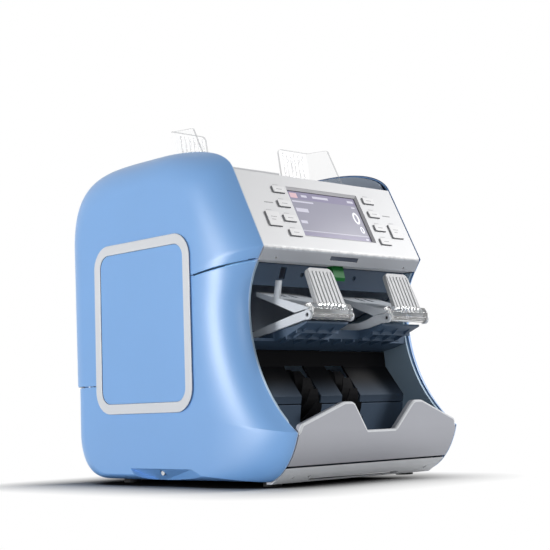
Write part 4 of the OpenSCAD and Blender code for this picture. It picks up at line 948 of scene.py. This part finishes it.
class COUNTER_OT_control_panel(bpy.types.Operator):
    """Make the sloped panel with its lip, the lip's dark window and the slanted frame round the screen"""
    bl_idname = "counter.control_panel"
    bl_label = "Control Panel"

    def execute(self, context):
        bm = bmesh_of("control_panel")
        round_edges(bm, sizes().fold_round, 5, only=self.at_fold, clamp=False)
        round_edges(bm, sizes().panel_round, 3, only=self.off_fold)
        bm.normal_update()
        # Painted shade: faces turned down along the lip get the darker lip colour.
        lip_out = Vector((0.0, -math.sin(LIP_ANGLE), -math.cos(LIP_ANGLE)))
        for face in bm.faces:
            face.material_index = 1 if face.normal.dot(lip_out) > 0.9 else 0
        add_piece("panel_moulding", bm, "upper_unit", [panel_paint(), lip_paint()],
                  ["control_panel"])
        self.bezel()
        self.lip_window()
        self.print_marks()
        return {"FINISHED"}

    def at_fold(self, edge):
        """Whether the edge is the one where the panel folds back into its lip."""
        return all((v.co - place(v.co.x / MM, FOLD)).length < 0.2 * MM for v in edge.verts)

    def off_fold(self, edge):
        """Whether the edge lies clear of the rounded fold."""
        reach = 1.5 * sizes().fold_round
        return all((v.co - place(v.co.x / MM, FOLD)).length > reach for v in edge.verts)

    def bezel(self):
        m = panel_matrix()
        bm = bmesh.new()
        width, drop, gasket, skin = sizes().bezel_width, sizes().bezel_drop, sizes().gasket, 0.2 * MM

        def loop(inset, depth):
            u0, v0, u1, v1 = window_corners(inset)
            corners = ((u0, v0), (u1, v0), (u1, v1), (u0, v1))
            return [bm.verts.new(m @ Vector((u, v, -depth))) for u, v in corners]

        loops = [loop(skin, skin), loop(width, drop - gasket), loop(width, drop), loop(skin, drop)]
        for k, (a, b) in enumerate(zip(loops, loops[1:] + loops[:1])):
            for i in range(4):
                face = bm.faces.new((a[i], a[(i + 1) % 4], b[(i + 1) % 4], b[i]))
                face.material_index = 1 if k == 1 else 0
        add_piece("screen_bezel", bm, "upper_unit", [bezel_plastic(), black_rubber()])

    def lip_window(self):
        bm = bmesh.new()
        gap, back, front = 0.15 * MM, 2.6 * MM, 0.35 * MM
        box_into(bm, (-LIP_SLOT_W / 2 + gap, LIP_SLOT_TOP + gap, -back),
                 (LIP_SLOT_W / 2 - gap, LIP_SLOT_LOW - gap, -front), 0, lip_matrix())
        round_edges(bm, 0.3 * MM, 2)
        add_piece("lip_window", bm, "upper_unit", smoked_window())

    def print_marks(self):
        """Plain printed bars beside and over the keys."""
        m = panel_matrix()
        bm = bmesh.new()
        thick, high = 0.05 * MM, sizes().mark_height

        def bar(u, v, length, tall, index):
            box_into(bm, (u - length / 2, v - tall / 2, -thick),
                     (u + length / 2, v + tall / 2, high), index, m)

        for node in KEY_NODES:
            lo, hi = panel_box(node)
            bar((lo.x + hi.x) / 2 - 1.2 * MM, hi.y - KEY_FLANGE + 2.6 * MM, 7.0 * MM, 0.7 * MM, 0)
        for node, side in (("key_left_3", -1), ("key_right_3", 1)):
            lo, hi = panel_box(node)
            edge = (lo if side < 0 else hi).x
            bar(edge + side * 10.5 * MM, (lo.y + hi.y) / 2 + 0.3 * MM, 12.0 * MM, 1.1 * MM, 1)
        add_piece("panel_print", bm, "upper_unit", [mark_ink("faint_ink", 0.55), mark_ink("grey_ink", 0.30)])


class COUNTER_OT_keys(bpy.types.Operator):
    """Make the keys with rounded pale tops, sides painted darker as shade and plain printed bars"""
    bl_idname = "counter.keys"
    bl_label = "Keys"

    def execute(self, context):
        m = panel_matrix()
        out = Vector((0, OUT.x, OUT.y))
        for node in KEY_NODES:
            lo, hi = panel_box(node)
            bm = bmesh_of(node)
            round_edges(bm, sizes().key_round, 3)
            bm.normal_update()
            # Painted shade: all faces but the tops get the dark side colours.
            for face in bm.faces:
                if face.normal.dot(out) > KEY_TOP_TURN:
                    face.material_index = 0
                else:
                    face.material_index = 3 if abs(face.normal.x) > KEY_FLANK_TURN else 1
            width = hi.x - lo.x - 2 * KEY_FLANGE
            height = hi.y - lo.y - 2 * KEY_FLANGE
            left = lo.x + KEY_FLANGE
            base = lo.y + KEY_FLANGE
            rows = [(0.5, 0.44)] if node[-1].isdigit() else [(0.62, 0.44), (0.42, 0.30)]
            for share, length in rows:
                v = base + share * height
                start = left + BAR_START * width
                box_into(bm, (start, v - BAR_HALF, hi.z - BAR_SINK),
                         (start + length * width, v + BAR_HALF, hi.z + sizes().mark_height), 2, m)
            looks = [key_plastic(), key_side_plastic(), mark_ink(), key_flank_plastic()]
            add_piece(node + "_cap", bm, node, looks, [node])
        return {"FINISHED"}


class COUNTER_OT_screen(bpy.types.Operator):
    """Make the lit screen with a plain count picture"""
    bl_idname = "counter.screen"
    bl_label = "Screen"

    def execute(self, context):
        m = panel_matrix()
        c = colours()
        looks = [screen_light(name, getattr(c, name), strength)
                 for name, strength in (("screen_ground", 0.9), ("screen_band", 0.9), ("screen_white", 1.0),
                                        ("screen_rose", 1.0), ("screen_pale", 1.0))]
        glass = -sizes().bezel_drop - 0.05 * MM
        u0, v0, u1, v1 = (c / MM for c in window_corners(sizes().bezel_width))
        bm = bmesh.new()

        def patch(a, b, lift, index):
            box_into(bm, (a[0] * MM, a[1] * MM, glass - SCREEN_THICK),
                     (b[0] * MM, b[1] * MM, glass + lift * MM), index, m)

        def zero(u, v, height):
            wide, bar, n = height * 0.62, height * 0.17, 28
            rim = []
            for grow in (0.0, bar):
                turn = [math.tau * i / n for i in range(n)]
                rim.append([bm.verts.new(m @ Vector(((u + (wide / 2 - grow) * math.cos(t)) * MM,
                                                     (v + (height / 2 - grow) * math.sin(t)) * MM,
                                                     glass + 0.03 * MM))) for t in turn])
            for i in range(n):
                f = bm.faces.new((rim[0][i], rim[0][(i + 1) % n], rim[1][(i + 1) % n], rim[1][i]))
                f.material_index = 2

        patch((u0 - 1, v0 - 1), (u1 + 1, v1 + 1), 0.0, 0)
        patch((u0, v1 - 9.5), (u1, v1), 0.01, 1)
        patch((u0, v0), (u1, v0 + 5.5), 0.01, 1)
        patch((u0, v0 + 6.6), (u1, v0 + 7.2), 0.01, 4)
        patch((u0 + 3, v1 - 8), (u0 + 13, v1 - 2), 0.02, 3)
        for a, b in (((u0 + 19, v1 - 6.2), (u0 + 27, v1 - 3.4)), ((u0 + 35, v1 - 6.2), (u0 + 58, v1 - 3.4)),
                     ((u0 + 3, v1 - 13.2), (u0 + 33, v1 - 11.4)), ((u0 + 4, v1 - 25), (u0 + 21, v1 - 20.5)),
                     ((u0 + 4, v1 - 39), (u0 + 13, v1 - 35.5)), ((u1 - 12, v1 - 6.2), (u1 - 3, v1 - 3.4)),
                     ((u1 - 9, v1 - 12.8), (u1 - 4, v1 - 11.2)), ((u1 - 7, v0 + 1.8), (u1 - 3, v0 + 4.0))):
            patch(a, b, 0.02, 4)
        zero(u1 - 8.5, v1 - 25.5, 15.0)
        zero(u1 - 6.5, v1 - 40.0, 8.5)
        add_piece("screen_picture", bm, "upper_unit", looks, ["display_module"])
        return {"FINISHED"}


# Pockets, hopper, base


BROAD_FACE = 300.0 * MM * MM  # clear faces smaller than this are edges and ribs
STOPPER_FOOT = 171.5 * MM  # height where a stopper's clear foot ends
STACK_SHADE_LOW, STACK_SHADE_HIGH = 70.0 * MM, 104.0 * MM  # heights between which painted shade turns the stacker's back black
BLACK_SHADE_Z = 112.0 * MM  # height where the stacker's throat starts; above it the back plate is painted black, as shade


class COUNTER_OT_hopper(bpy.types.Operator):
    """Dress the hopper, its clear guides and the feed drive"""
    bl_idname = "counter.hopper"
    bl_label = "Hopper"

    def execute(self, context):
        small = sizes().small_round
        rounded_copy("hopper_tray", "hopper_bed", "upper_unit", hopper_plastic(), small)
        rounded_copy("rear_cover", "rear_hood", "upper_unit", silver_paint(), small)
        for word in ("left", "right"):
            node = "hopper_guide_" + word
            bm = bmesh_of(node)
            round_edges(bm, small * 0.8, 2)
            for face in bm.faces:
                face.material_index = 0 if face.calc_area() > BROAD_FACE else 1
            add_piece("clear_guide_" + word, bm, node, [clear_plastic(), clear_edge()],
                      [node])
        rounded_copy("feed_rollers", "feed_tyres", "feed_rotor", black_rubber(), small)
        paint("feed_shaft", steel())
        paint("feed_motor", motor_metal())
        return {"FINISHED"}


def paint(node, material):
    """Gives a node that stays as it is its finish."""
    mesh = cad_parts[node].data
    mesh.materials.clear()
    mesh.materials.append(material)
    for face in mesh.polygons:
        face.material_index = 0


class COUNTER_OT_reject_pocket(bpy.types.Operator):
    """Dress the reject pocket: tray, arms, clear stoppers, back wall and lever"""
    bl_idname = "counter.reject_pocket"
    bl_label = "Reject Pocket"

    def execute(self, context):
        small = sizes().small_round
        rounded_copy("reject_tray", "tray_moulding", "base", tray_plastic(), small)
        rounded_copy("reject_back_wall", "pocket_wall", "upper_unit", tray_plastic(), small)
        for word in ("left", "right"):
            rounded_copy("reject_arm_" + word, "arm_moulding_" + word, "base", arm_plastic(),
                         small)
            self.stopper("reject_stopper_" + word, "clear_stopper_" + word)
        rounded_copy("release_lever", "lever_grip", "release_lever", green_plastic(),
                     small * 1.5, 3)
        # Painted shade: the pins' dark metal stands for the shade in the pivot holes.
        paint("pivot_pins", pin_metal())
        return {"FINISHED"}

    def stopper(self, node, name):
        """Frosted plate on a clear foot."""
        bm = bmesh_of(node, whole=False)
        round_edges(bm, sizes().small_round)
        for face in bm.faces:
            face.material_index = 1 if face.calc_center_median().z < STOPPER_FOOT else 0
        add_piece(name, bm, node, [frosted_plastic(), foot_plastic()], [node])


class COUNTER_OT_stacker(bpy.types.Operator):
    """Dress the stacker: plates, finned wheels and drive"""
    bl_idname = "counter.stacker"
    bl_label = "Stacker"

    def execute(self, context):
        small = sizes().small_round
        rounded_copy("stacker_floor", "stack_floor_plate", "base", stack_plastic(), small)
        bm = bmesh_of("stacker_back")
        round_edges(bm, small)
        # Painted shade: faces above that height are black, as shade under the tray.
        for face in bm.faces:
            face.material_index = 1 if face.calc_center_median().z > BLACK_SHADE_Z else 0
        add_piece("stack_back_plate", bm, "base", [sooty_plastic(), wheel_rubber()],
                  ["stacker_back"])
        for word in ("left", "right"):
            rounded_copy("stacker_wheel_" + word, "finned_wheel_" + word, "stacker_rotor", wheel_rubber(),
                         small * 0.5, 2, 40.0)
        paint("stacker_shaft", steel())
        paint("stacker_pulley", pulley_plastic())
        paint("motor_pulley", pulley_plastic())
        paint("stacker_motor", motor_metal())
        paint("stacker_belt", black_rubber())
        return {"FINISHED"}


class COUNTER_OT_base(bpy.types.Operator):
    """Dress the apron, base strip, base pan and feet"""
    bl_idname = "counter.base"
    bl_label = "Base"

    def execute(self, context):
        bm = bmesh_of("apron")
        round_edges(bm, sizes().apron_bevel, 2, only=self.on_upper_front, clamp=False)
        # Painted highlight: the apron's bevelled upper edge gets the lighter silver as a lit band.
        mark = bm.faces.layers.float.get("rubbed")
        for face in bm.faces:
            face.material_index = 1 if face[mark] > 0.5 else 0
        add_piece("apron_moulding", bm, "base", [silver_paint(), rim_paint()], ["apron"])
        # Painted light: the base strip gets the lighter silver, as lit from the floor.
        rounded_copy("base_strip", "strip_moulding", "base", rim_paint(), sizes().small_round)
        rounded_copy("feet", "rubber_feet", "base", black_rubber(), sizes().small_round)
        paint("base_pan", frame_paint())
        paint("cover_screws", steel())
        return {"FINISHED"}

    def on_upper_front(self, edge):
        """Whether the edge borders the apron's front above its foot."""
        front = any(f.normal.y < -0.5 for f in edge.link_faces)
        above = all(v.co.z > (TIP - 1) * MM for v in edge.verts)
        return front and above and not all(f.normal.y < -0.5 for f in edge.link_faces)


class COUNTER_OT_back(bpy.types.Operator):
    """Dress the lower back with its inlet and switch"""
    bl_idname = "counter.back"
    bl_label = "Back"

    def execute(self, context):
        small = sizes().small_round
        rounded_copy("rear_lower_panel", "rear_plate", "base", stack_plastic(), small)
        rounded_copy("power_inlet", "inlet_socket", "base", black_plastic(), small)
        rounded_copy("power_switch", "switch_rocker", "power_switch", red_plastic(), small)
        return {"FINISHED"}


class COUNTER_OT_inside(bpy.types.Operator):
    """Paint the side plates, boards and other inner pieces"""
    bl_idname = "counter.inside"
    bl_label = "Inside"

    def execute(self, context):
        for word in ("left", "right"):
            paint("chassis_" + word, frame_paint())
            paint("upper_frame_" + word, cheek_paint())
        paint("image_sensor", black_plastic())
        paint("main_board", board_lacquer())
        paint("keypad_board", board_lacquer())
        paint("power_supply", motor_metal())
        return {"FINISHED"}


# Stage

CAMERA_AT = Vector((-0.9252, -0.9870, 0.0704))
YAW, PITCH, ROLL = math.radians(43.71), math.radians(6.13), math.radians(-1.89)
FOCAL_PIXELS, FRAME_PIXELS, SENSOR = 1265.0, 550.0, 36.0

# Name, place, aim, width, height and power of each softbox
LAMPS = (
    ("key_light", (1.33, -1.03, 1.17), (0.0, -0.08, 0.20), 0.6, 0.6, 28.5),
    ("left_light", (-1.60, 0.32, 0.25), (-0.1, 0.0, 0.2), 0.45, 0.5, 14.5),
    ("front_fill", (-0.95, -1.30, 0.42), (0.0, -0.12, 0.15), 0.5, 0.5, 2.4),
)
AMBIENT = 0.12
FLOOR_NEAR, FLOOR_SHADE, FLOOR_BOUNCE, FLOOR_GLOW = 0.85, 0.02, 0.60, 0.9
GLOW_FULL, GLOW_END = 0.015, 0.40
SHADE_REACH, SHADE_FROM, SHADE_TO = 0.14, 0.30, 0.95
SHADE_CENTRE, SHADE_HALF = (-0.0525, 0.0, 0.0), (0.0925, 0.165, 0.0)
FADE_REACH = 0.11
FLOOR_HALF, FLOOR_DROP = 6.0, 0.0003


class COUNTER_OT_stage(bpy.types.Operator):
    """Make the floor, lamps, background and camera"""
    bl_idname = "counter.stage"
    bl_label = "Stage"

    def execute(self, context):
        scene = context.scene
        look = Vector((math.sin(YAW) * math.cos(PITCH), math.cos(YAW) * math.cos(PITCH), math.sin(PITCH)))
        right = Vector((math.cos(YAW), -math.sin(YAW), 0.0))
        up = right.cross(look)
        right, up = (right * math.cos(ROLL) + up * math.sin(ROLL),
                     up * math.cos(ROLL) - right * math.sin(ROLL))
        data = bpy.data.cameras.new("photo_camera")
        data.sensor_width = SENSOR
        data.lens = FOCAL_PIXELS / FRAME_PIXELS * SENSOR
        camera = bpy.data.objects.new("photo_camera", data)
        turn = Matrix((right, up, -look)).transposed()
        camera.matrix_world = Matrix.Translation(CAMERA_AT) @ turn.to_4x4()
        scene.collection.objects.link(camera)
        scene.camera = camera

        for name, at, to, wide, high, watts in LAMPS:
            lamp = bpy.data.lights.new(name, "AREA")
            lamp.shape = "RECTANGLE"
            lamp.size, lamp.size_y, lamp.energy = wide, high, watts
            obj = bpy.data.objects.new(name, lamp)
            aim = Vector(to) - Vector(at)
            obj.matrix_world = Matrix.Translation(at) @ aim.to_track_quat("-Z", "Y").to_matrix().to_4x4()
            scene.collection.objects.link(obj)

        bm = bmesh.new()
        bmesh.ops.create_grid(bm, x_segments=8, y_segments=8, size=FLOOR_HALF)
        mesh = bpy.data.meshes.new("floor")
        bm.to_mesh(mesh)
        bm.free()
        floor = bpy.data.objects.new("floor", mesh)
        floor.location.z = -FLOOR_DROP
        scene.collection.objects.link(floor)
        mesh.materials.append(floor_finish())

        world = bpy.data.worlds.new("studio")
        scene.world = world
        world.use_nodes = True
        tree = world.node_tree
        back = tree.nodes["Background"]
        tree.links.new(math_node(tree, "MAXIMUM", eye_rays(tree), AMBIENT), back.inputs["Strength"])
        back.inputs["Color"].default_value = (1, 1, 1, 1)
        scene.view_settings.view_transform = "Standard"
        return {"FINISHED"}


def floor_finish():
    """Pale floor with a soft shadow round the object; away from its footprint it runs out to white."""
    mat = bpy.data.materials.new("pale_floor")
    mat.use_nodes = True
    tree = mat.node_tree
    shader = tree.nodes["Principled BSDF"]
    output = tree.nodes["Material Output"]
    seen = eye_rays(tree)
    sky = add_node(tree, "ShaderNodeAmbientOcclusion", {"Distance": SHADE_REACH}, samples=16)
    open_sky = sky.outputs["AO"]
    shaded = mix_colour(tree, ramp(tree, open_sky, SHADE_FROM, SHADE_TO), rgba((FLOOR_SHADE,) * 3),
                        rgba((FLOOR_NEAR,) * 3))
    tree.links.new(mix_colour(tree, seen, rgba((FLOOR_BOUNCE,) * 3), shaded), shader.inputs["Base Color"])
    shader.inputs["Roughness"].default_value = 0.9
    shader.inputs["Specular IOR Level"].default_value = 0.0
    where = add_node(tree, "ShaderNodeTexCoord").outputs["Object"]
    reach = add_node(tree, "ShaderNodeVectorMath", {0: where, 1: SHADE_CENTRE}, operation="SUBTRACT")
    reach = add_node(tree, "ShaderNodeVectorMath", {0: reach.outputs[0]}, operation="ABSOLUTE").outputs[0]
    reach = add_node(tree, "ShaderNodeVectorMath", {0: reach, 1: SHADE_HALF}, operation="SUBTRACT")
    reach = add_node(tree, "ShaderNodeVectorMath", {0: reach.outputs[0], 1: (0, 0, 0)}, operation="MAXIMUM")
    away = add_node(tree, "ShaderNodeVectorMath", {0: reach.outputs[0]}, operation="LENGTH").outputs["Value"]
    far = ramp(tree, away, 0.0, FADE_REACH)
    before = add_node(tree, "ShaderNodeSeparateXYZ", {0: reach.outputs[0]}).outputs["Y"]
    glow = math_node(tree, "MULTIPLY", ramp(tree, before, 0.0, GLOW_FULL),
                     ramp(tree, away, GLOW_END, GLOW_FULL))
    glow = math_node(tree, "MULTIPLY", glow, FLOOR_GLOW)
    white = add_node(tree, "ShaderNodeEmission", {"Color": (1, 1, 1, 1), "Strength": 1.0})
    share = add_node(tree, "ShaderNodeMix", {0: seen, 2: glow, 3: far}).outputs[0]
    mixed = add_node(tree, "ShaderNodeMixShader", {0: share, 1: shader.outputs[0], 2: white.outputs[0]})
    tree.links.new(mixed.outputs[0], output.inputs["Surface"])
    return mat


# Add-on

STEPS = (COUNTER_OT_side_covers, COUNTER_OT_side_frames, COUNTER_OT_control_panel, COUNTER_OT_keys,
         COUNTER_OT_screen, COUNTER_OT_hopper, COUNTER_OT_reject_pocket, COUNTER_OT_stacker, COUNTER_OT_base,
         COUNTER_OT_back, COUNTER_OT_inside, COUNTER_OT_stage)


class COUNTER_PT_panel(bpy.types.Panel):
    bl_idname = "COUNTER_PT_panel"
    bl_label = "Banknote Counter"
    bl_space_type = "VIEW_3D"
    bl_region_type = "UI"
    bl_category = "Counter"

    def draw(self, context):
        for step in STEPS:
            self.layout.operator(step.bl_idname)
        for group in (context.scene.counter_sizes, context.scene.counter_colours):
            for prop in group.bl_rna.properties:
                if prop.identifier not in ("rna_type", "name"):
                    self.layout.prop(group, prop.identifier)


CLASSES = (CounterSizes, CounterColours) + STEPS + (COUNTER_PT_panel,)


def register():
    for cls in CLASSES:
        bpy.utils.register_class(cls)
    bpy.types.Scene.counter_sizes = PointerProperty(type=CounterSizes)
    bpy.types.Scene.counter_colours = PointerProperty(type=CounterColours)


def unregister():
    del bpy.types.Scene.counter_colours
    del bpy.types.Scene.counter_sizes
    for cls in reversed(CLASSES):
        bpy.utils.unregister_class(cls)


def main():
    register()
    for step in STEPS:
        area, name = step.bl_idname.split(".")
        getattr(getattr(bpy.ops, area), name)()


if __name__ == "__main__":
    main()
